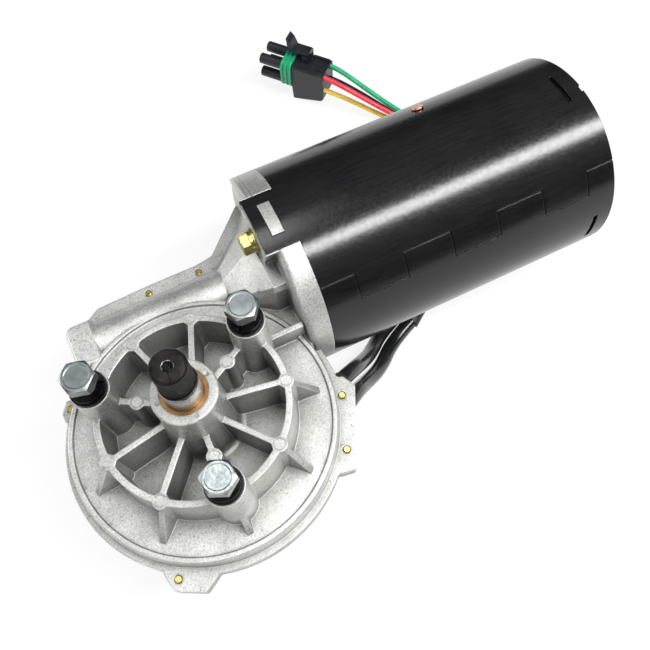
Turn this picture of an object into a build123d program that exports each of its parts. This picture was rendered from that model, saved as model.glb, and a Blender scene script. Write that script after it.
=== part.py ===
from build123d import *
import os
from math import atan2, cos, degrees, pi, radians, sin, sqrt, tan

# Frame: +Z runs up the output shaft, +X runs along the motor to its far end.
# The origin is on the shaft's axis, level with the tops of the three mounting bosses.

# Clearances between pieces
running_gap = 0.04
slip_gap = 0.2
thrust_gap = 0.3

# Output shaft, from its serrated end down to its foot in the rear cover
shaft_r = 8.3
serration_r = 7.5
serration_low_z = 17.7
shaft_top_z = 34.4
shaft_chamfer = 0.5
shaft_shoulder = 0.4
centre_hole_r = 2.1
centre_hole_depth = 14.0
centre_hole_chamfer = 0.3
index_slot_w = 1.0
index_slot_depth = 0.8
index_slot_angle = -97.0
shaft_foot_r = 6.0
bush_wall = 1.9
bush_length = 18.0
seal_groove_depth = 0.5
seal_groove_w = 2.2
seal_ring_z = -14.0

# Gear case: a flat plate with a raised rim, a wall and a flange at the parting face
case_r = 62.7
case_wall = 4.0
plate_top_z = -39.0
plate_t = 4.0
rim_crest_z = -37.5
rim_w = 1.8
parting_z = -50.0
flange_overhang = 3.6
flange_corner_r = 1.6
flange_r = case_r + flange_overhang
flange_t = 4.0
case_draft = 0.8

# Hub, spokes and ring that stand on the plate
hub_top_z = 5.5
hub_r = 14.2
hub_root_r = 17.0
spoke_root_r = 14.6
stake_angles = (15.0, 180.0, 275.0)
stake_low_r = 10.4
stake_high_r = 12.4
stake_w = 1.6
stake_depth = 0.5
spigot_low_z = -4.0
spoke_step = 40.0
spoke_first = 30.0
spoke_t = 2.6
spoke_top_z = -13.65
ring_r = 41.5
ring_t = 2.8
ring_draft = 1.4
pocket_corner_r = 1.5
pad_r = 3.4
inner_pad_ring_r = 24.4
gusset_tip_r = 56.0
gusset_root_w = 6.0
gusset_tip_w = 3.0
gusset_top_z = -17.5

# Mounting bosses and their bolts
boss_ring_r = 40.8
boss_r = 8.5
boss_draft = 0.8
mount_bolt_r = 4.0
mount_bolt_depth = 24.0
mount_head_flats = 13.0
mount_head_t = 5.3
mount_head_z = 10.7
flat_washer_r = 7.9
flat_washer_t = 2.0
spring_washer_r = 7.2
spring_washer_t = 2.3
washer_split = 1.2

# Motor axis, parallel to X, and the worm drive on it
motor_y = 63.5
motor_z = -50.0
gear_module = 2.0
wheel_teeth = 56
wheel_half_w = 5.5
worm_half_length = 22.0
tunnel_r = 12.8
tunnel_wall = 3.0
tunnel_end_x = -44.5
worm_journal_r = 5.0
worm_bush_wall = 2.5
worm_bush_length = 12.0

# Neck and motor flange
neck_start_x = case_r - 26.7
neck_full_x = case_r - 7.7
neck_edge_x = case_r - 18.5
neck_side_y = 36.5
neck_top_z = -18.0
motor_flange_x = case_r - 1.2
tube_r = 52.5
tube_wall = 3.0
tube_start_x = motor_flange_x + 11.6
tube_end_x = tube_start_x + 161.9
spigot_length = 6.0
brush_cavity_r = 45.0
brush_cavity_floor_x = motor_flange_x + 1.5
neck_cone_r = 22.0
flange_cone_r = 42.0
neck_rib_y = 20.0
neck_rib_t = 2.6
neck_rib_top_z = -27.5

# Lock tabs of the tube and the pads they fold over, as angles about the motor axis
tab_low_angle = 74.7
tab_high_angle = 109.0
tab_x = motor_flange_x - 5.0
tab_window_x = motor_flange_x + 1.1
tab_window_w = 6.3
tab_window_margin = 7.2
pad_low_angle = 38.0
pad_x = motor_flange_x - 1.5
pad_seat_x = motor_flange_x - 5.3
pad_inner_r = 33.0

# Flange bolts that hold the brush plate
flange_bolt_ring_r = 39.5
flange_bolt_angle = 92.0
flange_bolt_r = 3.0
flange_head_flats = 10.0
flange_head_t = 4.2
flange_spring_t = 1.6
flange_spring_r = 5.4
flange_flat_t = 1.2
flange_flat_r = 6.2

# Rear cover
cover_flange_t = 4.0
cover_floor_z = -67.0
cover_floor_t = 3.0
gasket_t = 0.6
screw_r = 1.9
screw_head_r = 4.0
screw_head_t = 2.6
screw_tip = 0.8

# Bearing at the neck
bearing_bore_r = 6.0
bearing_r = 16.0
bearing_w = 10.0
bearing_x = motor_flange_x - 14.0
ball_r = 2.9
ball_count = 8
ball_gap = 0.12

# Armature, commutator, brushes and magnets
shaft_main_r = 6.0
core_r = 38.5
core_start_x = motor_flange_x + 40.5
core_length = 80.0
core_slots = 14
slot_w = 7.0
slot_depth = 13.0
winding_end = 13.0
commutator_r = 16.0
commutator_x = motor_flange_x + 6.0
commutator_length = 18.0
commutator_bars = 28
magnet_gap = 1.0
magnet_span = 68.0
magnet_overhang = 6.0
brush_w = 7.0
brush_axial = 12.0
brush_length = 14.0
brush_wall = 1.0
brush_plate_t = 2.5
brush_angles = (0.0, 120.0, 240.0)
rear_journal_r = 5.0

# End cap and the tube's slots, notch, rivet and seam
cap_inset = 7.0
cap_t = 2.5
cap_skirt = 8.0
cap_boss_r = 11.0
stake_slot_inset = 9.5
stake_slot_w = 2.8
stake_slot_arc = 20.0
stake_slot_depth = 2.0
end_notch_arc = 4.0
end_notch_w = 1.0
rivet_x = tube_start_x + 87.9
rivet_angle = 55.0
rivet_r = 2.0
rivet_head_r = 3.2
seam_upper_angle = 135.5
seam_lower_angle = 150.3
seam_first_x = tube_start_x + 17.8
seam_step = 25.7
seam_w = 0.7
seam_depth = 0.6


# Worm, wheel and the pieces stacked on the output shaft
worm_pitch_r = 7.5
tooth_addendum = 1.7
tooth_dedendum = 2.1
worm_thread_w = 2.3
worm_timing = 270.0
wheel_tooth_w = 2.4
tooth_slope = 20.0
washer_t = 0.9
hub_boss_r = 13.0
hub_disc_r = 26.0
hub_disc_t = 3.0
hub_low_z = -57.0
hub_shaft_r = 8.0
snap_ring_t = 1.2
snap_ring_r = 10.5
park_disc_t = 0.8
park_disc_inner = 27.0
park_disc_outer = 46.0
contact_plate_t = 2.0
contact_radii = (30.0, 37.0, 43.0)
contact_w = 4.0
contact_t = 0.5
foot_bush_wall = 2.0
foot_bush_length = 4.0

# Leads: two sleeves from the rear cover meet in one, which ends in four wires and a connector
floor_z = -112.0
lead_exits = ((-5.0, 26.0), (-19.0, 36.0))
lead_exit_z = -60.0
lead_slope = 30.0
grommet_r = 5.6
grommet_length = 10.0
sleeve_r = 4.2
sleeve_z = -107.5
merge_boot_place = (129.2, 30.7)
merge_boot_turn = 22.0
merge_boot_length = 20.0
merge_boot_w = 9.4
merge_boot_h = 4.9
merge_boot_gap = 4.35
end_boot_place = (210.2, 141.0)
end_boot_turn = 116.0
end_boot_length = 12.0
end_boot_r = 6.0
end_boot_z = -106.0
wire_r = 1.65
wire_spread = 1.9
connector_place = (163.8, 207.1)
connector_lift = 19.5
connector_turn = 130.3
wire_pitch = 5.75
wire_depth = 3.0
wire_straight = 10.0

# Connector, about its own rear face: X along it, Z up, zero at the middle of its four ways
shell_length = 23.5
shell_half_w = 8.6
shell_rise = 8.5
rail_t = 1.2
seal_length = 7.5
seal_w = 20.5
seal_corner_r = 5.0
neck_w = 17.5
tower_length = 16.2
tower_r = 3.5
tower_bore_r = 1.7
tower_bore_depth = 12.0
terminal_r = 1.0
terminal_length = 7.0
latch_x = 16.0
latch_y = -3.4
latch_z = 12.5
latch_r = 2.0
latch_w = 7.6
latch_post_t = 1.2
latch_t = 1.6


def along_motor(shape):
    """Turns a shape built about Z so that its Z lies on the motor axis."""
    return Location((0, motor_y, motor_z), (0, 90, 0)) * shape


def disc(r, low, high, x=0.0, y=0.0):
    return Pos(x, y, low) * Cylinder(r, high - low, align=(Align.CENTER, Align.CENTER, Align.MIN))


def motor_disc(r, low, high):
    """Disc about the motor axis, from low to high in x, with its seam line clear of the tabs."""
    return along_motor(Rot(0, 0, 110) * disc(r, low, high))


def tube_ring(outer, inner, low, high):
    return disc(outer, low, high) - disc(inner, low - 1, high + 1)


def cone(r_low, r_high, low, high, x=0.0, y=0.0):
    blank = Cone(r_low, r_high, high - low, align=(Align.CENTER, Align.CENTER, Align.MIN))
    return Pos(x, y, low) * blank


def block(x0, x1, y0, y1, z0, z1):
    return Pos(x0, y0, z0) * Box(x1 - x0, y1 - y0, z1 - z0, align=(Align.MIN,) * 3)


def polar(r, angle):
    return (r * cos(radians(angle)), r * sin(radians(angle)))


def sector(outer, inner, low, high, start, end):
    """Arc-shaped block about the motor axis: low and high are x, angles are seen from -X."""
    middle = radians((start + end) / 2)
    reach = 2 * outer
    corners = [(0, 0)]
    for angle in (start, (start + end) / 2, end):
        a = radians(angle)
        corners.append((-reach * sin(a), reach * cos(a)))
    wedge = extrude(make_face(Polyline(*corners, close=True)), high - low)
    arc = Rot(0, 0, 110) * tube_ring(outer, inner, low, high)
    return along_motor(arc & (Pos(0, 0, low) * wedge))


def motor_polar(r, angle):
    """World y and z of a point at a radius and angle about the motor axis."""
    return (motor_y + r * cos(radians(angle)), motor_z + r * sin(radians(angle)))


def hexagon(flats, low, high):
    blank = extrude(RegularPolygon(flats / sqrt(3), 6), high - low)
    return Pos(0, 0, low) * blank


def chamfered_hex(flats, low, high):
    """Bolt head whose top corners are turned off by a cone."""
    top_r = flats / 2 * 0.97
    drop = (flats / sqrt(3) - top_r) * tan(radians(30))
    crown = disc(flats, low, high - drop) + cone(flats / sqrt(3) + 0.01, top_r, high - drop, high)
    return hexagon(flats, low, high) & crown


def split_washer(outer, inner, low, high, split):
    cut = block(0, outer * 2, -split / 2, split / 2, low - 1, high + 1)
    return tube_ring(outer, inner, low, high) - cut


def spoke_angles():
    return [spoke_first + spoke_step * i for i in range(round(360 / spoke_step))]


def boss_angles():
    return [spoke_first, spoke_first + 120.0, spoke_first + 240.0]


def case_profile():
    """Half section of the round case: plate, rim, wall and flange."""
    inner = case_r - case_wall
    low = plate_top_z - plate_t
    crest = case_r - case_draft
    return Polyline(
        (0, low), (inner, low), (inner, parting_z), (flange_r, parting_z),
        (flange_r, parting_z + flange_t), (case_r + 0.5, parting_z + flange_t),
        (case_r, plate_top_z), (crest, rim_crest_z), (crest - rim_w, rim_crest_z),
        (crest - rim_w - 0.6, plate_top_z), (0, plate_top_z), close=True)


def revolve_about_z(outline):
    return revolve(Plane.XZ * make_face(outline), Axis.Z)


def pocket_sketch(start):
    """Plan of one pocket between the spokes at start and start + spoke_step."""
    half = spoke_step / 2
    reach = 2 * ring_r
    apex = spoke_t / 2 / sin(radians(half))
    corners = [polar(apex, start + half)]
    for angle in (start, start + half, start + spoke_step):
        x, y = polar(reach, angle)
        corners.append((corners[0][0] + x, corners[0][1] + y))
    wedge = make_face(Polyline(*corners, close=True))
    plan = (Circle(ring_r - ring_t / 2) - Circle(spoke_root_r)) & wedge
    for angle in (start, start + spoke_step):
        x, y = polar(boss_ring_r, angle)
        if angle % 360 in [a % 360 for a in boss_angles()]:
            plan -= Pos(x, y) * Circle(boss_r + 0.3)
            x, y = polar(inner_pad_ring_r, angle)
            plan -= Pos(x, y) * Circle(pad_r)
        else:
            x, y = polar(ring_r, angle)
            plan -= Pos(x, y) * Circle(pad_r)
    plan = max(plan.faces(), key=lambda face: face.area)
    return fillet(plan.vertices(), pocket_corner_r)


def pocket(start):
    return Pos(0, 0, plate_top_z) * extrude(pocket_sketch(start), spoke_top_z - plate_top_z + 1)


def spoke_wheel():
    """Ring and spokes, cut out of one drafted drum."""
    low = plate_top_z - 0.5
    drum = cone(ring_r + ring_t / 2 + ring_draft, ring_r + ring_t / 2, low, spoke_top_z)
    for angle in spoke_angles():
        drum -= pocket(angle)
    for angle in spoke_angles():
        if angle in boss_angles():
            x, y = polar(inner_pad_ring_r, angle)
        else:
            x, y = polar(ring_r, angle)
        drum += cone(pad_r + 0.7, pad_r, low, spoke_top_z, x, y)
    return drum


def gusset(angle):
    """Wedge that props the ring from outside and dies out on the plate."""
    base_z = plate_top_z - 0.3
    root = ring_r - 0.5
    base = Pos(0, 0, base_z) * make_face(Polyline(
        (root, -gusset_root_w / 2), (gusset_tip_r, -gusset_tip_w / 2),
        (gusset_tip_r, gusset_tip_w / 2), (root, gusset_root_w / 2), close=True))
    top = Pos(0, 0, gusset_top_z) * make_face(Polyline(
        (root, -1.2), (ring_r + 2.0, -1.0), (ring_r + 2.0, 1.0), (root, 1.2), close=True))
    return Rot(0, 0, angle) * loft([base, top], ruled=True)


def hub():
    low = plate_top_z - 1.0
    outline = (
        Polyline((hub_r - 0.6, hub_top_z), (0, hub_top_z), (0, low), (hub_root_r + 3.0, low),
                 (hub_root_r + 3.0, plate_top_z))
        + RadiusArc((hub_root_r + 3.0, plate_top_z), (hub_root_r - 0.6, plate_top_z + 4.0), 4.0)
        + Polyline((hub_root_r - 0.6, plate_top_z + 4.0), (hub_r, spigot_low_z),
                   (hub_r, hub_top_z - 0.6), (hub_r - 0.6, hub_top_z)))
    return revolve_about_z(outline)


def flange_plan():
    """Plan of the parting flange: the round case, the screw ears and the strip along the worm."""
    strip = make_face(Polyline(
        (-46.0, 20.0), (-46.0, 71.0), (-38.0, 75.0), (-27.0, 82.0), (2.0, 83.0), (27.0, 83.0),
        (36.8, 84.5), (60.0, 107.5), (motor_flange_x + 1, 108.0), (motor_flange_x + 1, 40.0),
        (30.0, 40.0), close=True))
    bottom_ear = make_face(Polyline(
        polar(60, 226), polar(69.5, 234), polar(73.5, 238), polar(73.6, 248), polar(69.2, 251),
        polar(60, 258), close=True))
    long_ear = make_face(Polyline(
        polar(60, -4), polar(69.0, -5), polar(73.4, -10), polar(73.4, -42), polar(68.0, -45),
        polar(60, -48), close=True))
    left_ear = make_face(Polyline(
        polar(60, 140), polar(69.8, 143.5), polar(69.8, 149), polar(67.5, 152), polar(60, 156),
        close=True))
    plan = Circle(flange_r) + strip + bottom_ear + long_ear + left_ear
    return fillet(plan.vertices(), flange_corner_r)


def cover_screw_places():
    return [(-0.5, 78.6), (27.0, 78.6), polar(65.9, -12.8), polar(67.2, -35.7), polar(68.4, 238),
            polar(66.6, 146.5)]


def tunnel():
    """Half round roof over the worm, with a squarer block at its closed end."""
    end_block = block(tunnel_end_x, tunnel_end_x + 13, motor_y - 13.5, motor_y + 10, parting_z,
                      motor_z + tunnel_r)
    end_block = fillet(end_block.edges().filter_by(Axis.Z).group_by(Axis.X)[0], 4.0)
    end_block = chamfer(end_block.faces().sort_by(Axis.Z)[-1].edges(), 1.0)
    roof = motor_disc(tunnel_r, tunnel_end_x + 1, neck_start_x + 4)
    roof &= block(tunnel_end_x, 60, 40, 100, parting_z, 0)
    return (roof + end_block) - disc(case_r - case_draft - rim_w, plate_top_z, 0)


def neck():
    """Casting that rises from the worm tunnel to the motor flange."""
    low = motor_y - 13.5
    start = ((low, motor_z), (low + 0.5, -41.0), (low + 3.0, -38.5), (motor_y, -37.2),
             (motor_y + 8.0, -40.0), (motor_y + 12.8, -46.0), (motor_y + 12.8, motor_z))
    full = ((neck_side_y, motor_z), (neck_side_y, neck_top_z - 2), (neck_side_y + 2, neck_top_z),
            (64.0, neck_top_z + 1), (80.0, -27.0), (93.0, -46.0), (93.0, motor_z))
    end = ((neck_side_y, motor_z), (neck_side_y, neck_top_z - 2), (neck_side_y + 2, neck_top_z),
           (64.0, neck_top_z + 3), (84.0, -23.0), (104.0, -46.0), (104.0, motor_z))
    sections = []
    for x, points in ((neck_start_x, start), (neck_full_x, full), (motor_flange_x + 0.5, end)):
        sections.append(make_face(Polyline(*[(x, y, z) for y, z in points], close=True)))
    upper = loft(sections[:2], ruled=True) + loft(sections[1:], ruled=True)
    lower = along_motor(cone(neck_cone_r, flange_cone_r, neck_edge_x + 0.3, motor_flange_x + 0.5))
    lower &= block(40, 70, 0, 130, -110, motor_z)
    lower -= disc(case_r + 0.5, -110, motor_z)
    floor = block(40.0, motor_flange_x + 0.5, 11.0, 45.0, plate_top_z - plate_t, plate_top_z)
    rib = block(boss_ring_r * cos(radians(spoke_first)) + 4, motor_flange_x - 1.0,
                neck_rib_y - neck_rib_t / 2, neck_rib_y + neck_rib_t / 2,
                plate_top_z - 0.5, neck_rib_top_z)
    return upper + lower + floor + rib


def motor_flange():
    """Round flange that the tube seats on, with the pads under its two lock tabs."""
    body = motor_disc(tube_r, motor_flange_x, tube_start_x)
    body = fillet(body.edges().group_by(Axis.X)[0], 3.0)
    body += motor_disc(tube_r - tube_wall - slip_gap, tube_start_x - 1,
                       tube_start_x + spigot_length)
    for turn in (0, 180):
        low = tab_low_angle + turn
        high = tab_high_angle + turn
        body += sector(tube_r, pad_inner_r, pad_x, motor_flange_x + 1, pad_low_angle + turn, low)
        body += sector(tube_r, pad_inner_r, pad_seat_x, motor_flange_x + 1, low - 1, high + 1)
        body -= sector(tube_r + 1, tube_r - tube_wall - slip_gap, pad_seat_x - 1, tube_start_x,
                       low - 0.3, high + 0.3)
        body += sector(tube_r + 0.2, tube_r - tube_wall - 1, tab_window_x + slip_gap,
                       tab_window_x + tab_window_w - slip_gap,
                       low + tab_window_margin + 0.3, high - tab_window_margin - 0.3)
    return body


def flange_bolt_places():
    return [motor_polar(flange_bolt_ring_r, flange_bolt_angle + turn) for turn in (0, 180)]


def boss(angle):
    x, y = polar(boss_ring_r, angle)
    return cone(boss_r + boss_draft, boss_r, plate_top_z - 0.5, 0, x, y)


def housing_bores():
    """Everything that is bored or cored out of the housing."""
    cut = disc(case_r - case_wall, parting_z - 30, plate_top_z - plate_t)
    bore_r = tunnel_r - tunnel_wall
    cut += motor_disc(bore_r, tunnel_end_x + 14, bearing_x + 1)
    cut += motor_disc(worm_journal_r + worm_bush_wall, tunnel_end_x + 2, tunnel_end_x + 15)
    cut += motor_disc(bearing_r, bearing_x, brush_cavity_floor_x + 1)
    cut += motor_disc(brush_cavity_r, brush_cavity_floor_x, tube_start_x + 20)
    cut += disc(shaft_r + running_gap + bush_wall, plate_top_z - plate_t - 1, hub_top_z + 1)
    return cut


def gear_housing():
    body = revolve_about_z(case_profile())
    body += Pos(0, 0, parting_z) * extrude(flange_plan(), flange_t)
    body += spoke_wheel() + hub()
    for angle in boss_angles():
        body += boss(angle)
    for angle in (190, 230, 270, 310, 350):
        body += gusset(angle)
    body += tunnel()
    body += neck()
    body += motor_flange()
    body -= housing_bores()
    for angle in boss_angles():
        x, y = polar(boss_ring_r, angle)
        body -= disc(mount_bolt_r, -mount_bolt_depth - 2, 1, x, y)
    for x, y in cover_screw_places():
        body -= disc(screw_r, parting_z - 1, parting_z + flange_t + 6, x, y)
    for angle in stake_angles:
        body -= Rot(0, 0, angle) * block(stake_low_r, stake_high_r, -stake_w / 2, stake_w / 2,
                                         hub_top_z - stake_depth, hub_top_z + 1)
    for y, z in flange_bolt_places():
        frame = Location((0, y, z), (0, 90, 0))
        body -= frame * disc(flange_bolt_r, pad_seat_x - 1, 66)
        body -= frame * disc(flange_flat_r + 0.6, neck_edge_x - 1, pad_seat_x)
    return body


def bolt(flats, head_t, shank_r, length):
    """Hex bolt pointing down, with the underside of its head at z = 0."""
    tip = 0.8
    shank = disc(shank_r, tip - length, 0) + cone(shank_r - tip, shank_r, -length, tip - length)
    return chamfered_hex(flats, 0, head_t) + shank


def mounting_bolts():
    length = mount_head_z + mount_bolt_depth
    blank = bolt(mount_head_flats, mount_head_t, mount_bolt_r, length)
    turns = dict(zip(boss_angles(), (8.0, 22.0, 4.0)))
    return [Pos(*polar(boss_ring_r, a), mount_head_z) * Rot(0, 0, turns[a]) * blank
            for a in boss_angles()]


def mounting_flat_washers():
    inner = mount_bolt_r + slip_gap
    return [Pos(*polar(boss_ring_r, a)) * tube_ring(flat_washer_r, inner, 0, flat_washer_t)
            for a in boss_angles()]


def mounting_spring_washers():
    top = flat_washer_t + spring_washer_t
    blank = split_washer(spring_washer_r, mount_bolt_r + slip_gap, flat_washer_t, top, washer_split)
    return [Pos(*polar(boss_ring_r, a)) * Rot(0, 0, a + 200) * blank for a in boss_angles()]


def cover_plan():
    """The flange's plan, trimmed where the housing's neck and motor flange pass it."""
    plan = flange_plan()
    edge = neck_edge_x
    plan -= Pos(edge, neck_side_y - 1) * Rectangle(60, 100, align=(Align.MIN, Align.MIN))
    plan -= Pos(motor_flange_x - thrust_gap, -20) * Rectangle(60, 100, align=(Align.MIN, Align.MIN))
    return plan


def neck_clearance():
    """Space that the housing's neck and motor flange take below the parting face."""
    start = neck_edge_x
    room = along_motor(cone(neck_cone_r + 0.5, flange_cone_r + 1.3, start, motor_flange_x))
    room += motor_disc(tube_r + 0.5, motor_flange_x - 0.4, tube_start_x + 10)
    return room - disc(case_r + 0.2, -110, 0)


def cover_gasket():
    plan = cover_plan() - Circle(case_r - case_wall)
    width = tunnel_r - tunnel_wall
    plan -= Pos(tunnel_end_x + 2, motor_y - width) * Rectangle(
        100, 2 * width, align=(Align.MIN, Align.MIN))
    plan -= Pos(neck_start_x, neck_side_y - 1) * Rectangle(60, 100, align=(Align.MIN, Align.MIN))
    body = Pos(0, 0, parting_z - gasket_t) * extrude(plan, gasket_t) - neck_clearance()
    for x, y in cover_screw_places():
        body -= disc(screw_r + slip_gap, parting_z - 2, parting_z + 1, x, y)
    return max(body.solids(), key=lambda solid: solid.volume)


def rear_cover():
    top = parting_z - gasket_t
    inner = case_r - case_wall
    body = Pos(0, 0, top - cover_flange_t) * extrude(cover_plan(), cover_flange_t)
    body -= neck_clearance()
    dish = disc(case_r, cover_floor_z, top)
    dish = fillet(dish.edges().group_by(Axis.Z)[0], 3.0)
    edge = neck_edge_x
    pipe = motor_disc(tunnel_r + 1.5, tunnel_end_x + 1, edge)
    pipe += block(tunnel_end_x, tunnel_end_x + 13, motor_y - 13.5, motor_y + 10,
                  motor_z - tunnel_r, top)
    pipe &= block(-80, 80, 0, 130, -100, top)
    body += dish + pipe
    body -= disc(inner, cover_floor_z + cover_floor_t, top + 1)
    body -= motor_disc(tunnel_r - tunnel_wall, tunnel_end_x + 14, edge + 1)
    body -= motor_disc(worm_journal_r + worm_bush_wall, tunnel_end_x + 2, tunnel_end_x + 15)
    floor = cover_floor_z + cover_floor_t
    body += disc(shaft_foot_r + foot_bush_wall + 3, floor - 1, floor + foot_bush_length + 0.5)
    body -= disc(shaft_foot_r + running_gap + foot_bush_wall, floor, floor + 20)
    for x, y in cover_screw_places():
        body -= disc(screw_r + slip_gap, -100, top + 1, x, y)
        body -= disc(screw_head_r + slip_gap, -100, top - cover_flange_t, x, y)
    for frame in lead_frames():
        body -= frame * disc(sleeve_r, -12, 6)
    return body


def lead_frame(wall_angle, heading):
    """Frame with Z along a lead as it leaves the cover's wall, sloping down."""
    x, y = polar(case_r, wall_angle)
    return Location((x, y, lead_exit_z)) * Rot(0, 0, heading) * Rot(0, 90 + lead_slope, 0)


def lead_frames():
    return [lead_frame(angle, heading) for angle, heading in lead_exits]


def lead_grommets():
    """Rubber glands that the two sleeves leave through, with a lip outside the wall."""
    seat = parting_z - gasket_t - cover_flange_t
    out = []
    for frame in lead_frames():
        body = cone(grommet_r, sleeve_r + 0.4, -4, grommet_length) + disc(grommet_r + 1, -4, 2)
        body = frame * body - disc(case_r, -100, 0) - block(0, 100, -60, 40, seat, 0)
        for x, y in cover_screw_places():
            body -= disc(screw_head_r + slip_gap, -100, 0, x, y)
        plug = frame * disc(sleeve_r, -6, 2) & tube_ring(case_r + 0.1, case_r - case_wall, -100, 0)
        out.append(body + plug)
    return out


def cover_screws():
    seat = parting_z - gasket_t - cover_flange_t
    tip = parting_z + flange_t + screw_tip
    screws = []
    for x, y in cover_screw_places():
        body = disc(screw_head_r, seat - screw_head_t, seat, x, y)
        body = fillet(body.edges().group_by(Axis.Z)[0], 0.9)
        body += disc(screw_r, seat - 0.1, tip - 0.5, x, y)
        body += cone(screw_r, screw_r - 0.5, tip - 0.5, tip, x, y)
        body -= Pos(x, y, seat - screw_head_t) * hexagon(2.5, -1, 1.4)
        screws.append(body)
    return screws


def output_bushes():
    """The two sintered bushes pressed into the hub, one at each end of its bore."""
    inner = shaft_r + running_gap
    lows = (hub_top_z - 0.2 - bush_length, plate_top_z - plate_t)
    return [tube_ring(inner + bush_wall, inner, low, low + bush_length) for low in lows]


def output_shaft():
    low = parting_z - thrust_gap
    top = shaft_top_z
    ring_top = hub_low_z
    foot_top = ring_top - snap_ring_t - 0.6
    foot = cover_floor_z + cover_floor_t + 0.6
    washer_low = plate_top_z - plate_t - 0.05 - washer_t
    groove_r = shaft_r - seal_groove_depth
    ring_groove_r = hub_shaft_r - 0.8
    outline = Polyline(
        (0, top), (serration_r - shaft_chamfer, top), (serration_r, top - shaft_chamfer),
        (serration_r, serration_low_z), (shaft_r, serration_low_z - shaft_shoulder),
        (shaft_r, seal_ring_z + seal_groove_w / 2), (groove_r, seal_ring_z + seal_groove_w / 2),
        (groove_r, seal_ring_z - seal_groove_w / 2), (shaft_r, seal_ring_z - seal_groove_w / 2),
        (shaft_r, washer_low), (hub_shaft_r, washer_low), (hub_shaft_r, ring_top),
        (ring_groove_r, ring_top), (ring_groove_r, ring_top - snap_ring_t),
        (hub_shaft_r, ring_top - snap_ring_t), (hub_shaft_r, foot_top), (shaft_foot_r, foot_top),
        (shaft_foot_r, foot + 0.6), (shaft_foot_r - 0.6, foot), (0, foot), close=True)
    body = revolve_about_z(outline)
    body -= disc(centre_hole_r, top - centre_hole_depth, top + 1)
    body -= cone(centre_hole_r, centre_hole_r + centre_hole_chamfer, top - centre_hole_chamfer, top)
    slot = block(0, serration_r + 1, -index_slot_w / 2, index_slot_w / 2,
                 top - index_slot_depth, top + 1)
    return body - Rot(0, 0, index_slot_angle) * slot


def seal_ring():
    minor = (seal_groove_depth + bush_wall) / 2 - 0.1
    return Pos(0, 0, seal_ring_z) * Torus(shaft_r - seal_groove_depth + 0.1 + minor, minor)


def thrust_washer():
    top = plate_top_z - plate_t - 0.05
    return tube_ring(hub_boss_r + 1, shaft_r, top - washer_t, top)


def wheel_hub():
    top = plate_top_z - plate_t - 0.05 - washer_t
    middle = motor_z
    body = disc(hub_boss_r, hub_low_z, top)
    body += disc(hub_disc_r, middle - hub_disc_t / 2, middle + hub_disc_t / 2)
    for i in range(6):
        x, y = polar((hub_disc_r + hub_boss_r) / 2, 60 * i)
        body -= disc(2.5, middle - 5, middle + 5, x, y)
    return body - disc(hub_shaft_r, hub_low_z - 1, top + 1)


def wheel_tooth():
    """One tooth, leaned to the worm's lead, standing on the wheel's root circle at +Y."""
    wheel_r = gear_module * wheel_teeth / 2
    root = wheel_r - tooth_dedendum
    tip = wheel_r + tooth_addendum
    slope = tan(radians(tooth_slope))
    wide = wheel_tooth_w / 2 + tooth_dedendum * slope
    thin = wheel_tooth_w / 2 - tooth_addendum * slope
    lead = degrees(atan2(gear_module, 2 * worm_pitch_r))
    face = make_face(Polyline((-wide, root - 1.5), (wide, root - 1.5), (wide, root), (thin, tip),
                              (-thin, tip), (-wide, root), close=True))
    tooth = extrude(face, 12, both=True)
    return Rot(0, -lead, 0) * tooth


def worm_wheel():
    wheel_r = gear_module * wheel_teeth / 2
    low = motor_z - wheel_half_w
    high = motor_z + wheel_half_w
    rim = disc(wheel_r - tooth_dedendum, low, high)
    tooth = Pos(0, 0, motor_z) * wheel_tooth() & tube_ring(
        wheel_r + tooth_addendum, wheel_r - tooth_dedendum - 1, low, high)
    teeth = [Rot(0, 0, 360 / wheel_teeth * i) * tooth for i in range(wheel_teeth)]
    body = rim + teeth
    body -= tube_ring(wheel_r - 6, hub_disc_r + 2, high - 2.5, high + 1)
    body -= tube_ring(hub_disc_r, hub_boss_r, low - 1, low + 0.5)
    body -= disc(hub_boss_r, low - 1, high + 1)
    body -= wheel_hub()
    return max(body.solids(), key=lambda solid: solid.volume)


def park_disc():
    """Contact ring under the wheel, with the gap that marks the park position."""
    top = motor_z - wheel_half_w
    body = tube_ring(park_disc_outer, park_disc_inner, top - park_disc_t, top)
    middle = (contact_radii[0] + contact_radii[1]) / 2
    gap = tube_ring(park_disc_outer + 1, middle, top - 5, top + 5)
    wedge = make_face(Polyline((0, 0), polar(90, 150), polar(90, 172), close=True))
    return body - (gap & Pos(0, 0, top - 5) * extrude(wedge, 10))


def snap_ring():
    body = tube_ring(snap_ring_r, hub_shaft_r - 0.8, hub_low_z - snap_ring_t, hub_low_z)
    return body - block(0, 20, -2, 2, hub_low_z - 5, hub_low_z + 5)


def foot_bush():
    low = cover_floor_z + cover_floor_t
    inner = shaft_foot_r + running_gap
    return tube_ring(inner + foot_bush_wall, inner, low, low + foot_bush_length)


def contact_plate():
    low = cover_floor_z + cover_floor_t
    body = block(-48, -20, -16, 16, low, low + contact_plate_t)
    body = fillet(body.edges().filter_by(Axis.Z), 3.0)
    return body


def contact_fingers():
    """Three spring fingers that reach from the contact plate up to the park disc."""
    plate = cover_floor_z + cover_floor_t + contact_plate_t
    touch = motor_z - wheel_half_w - park_disc_t - 0.1
    fingers = []
    for r in contact_radii:
        path = ((-12, plate), (-2, plate), (8, touch - contact_t), (12, touch - 1.5))
        top = [(y, z + contact_t) for y, z in path]
        points = list(path) + top[::-1]
        face = make_face(Polyline(*[(0, y, z) for y, z in points], close=True))
        body = extrude(face, contact_w / 2, dir=(1, 0, 0), both=True)
        fingers.append(Pos(-r, 0, 0) * body)
    return fingers


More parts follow.
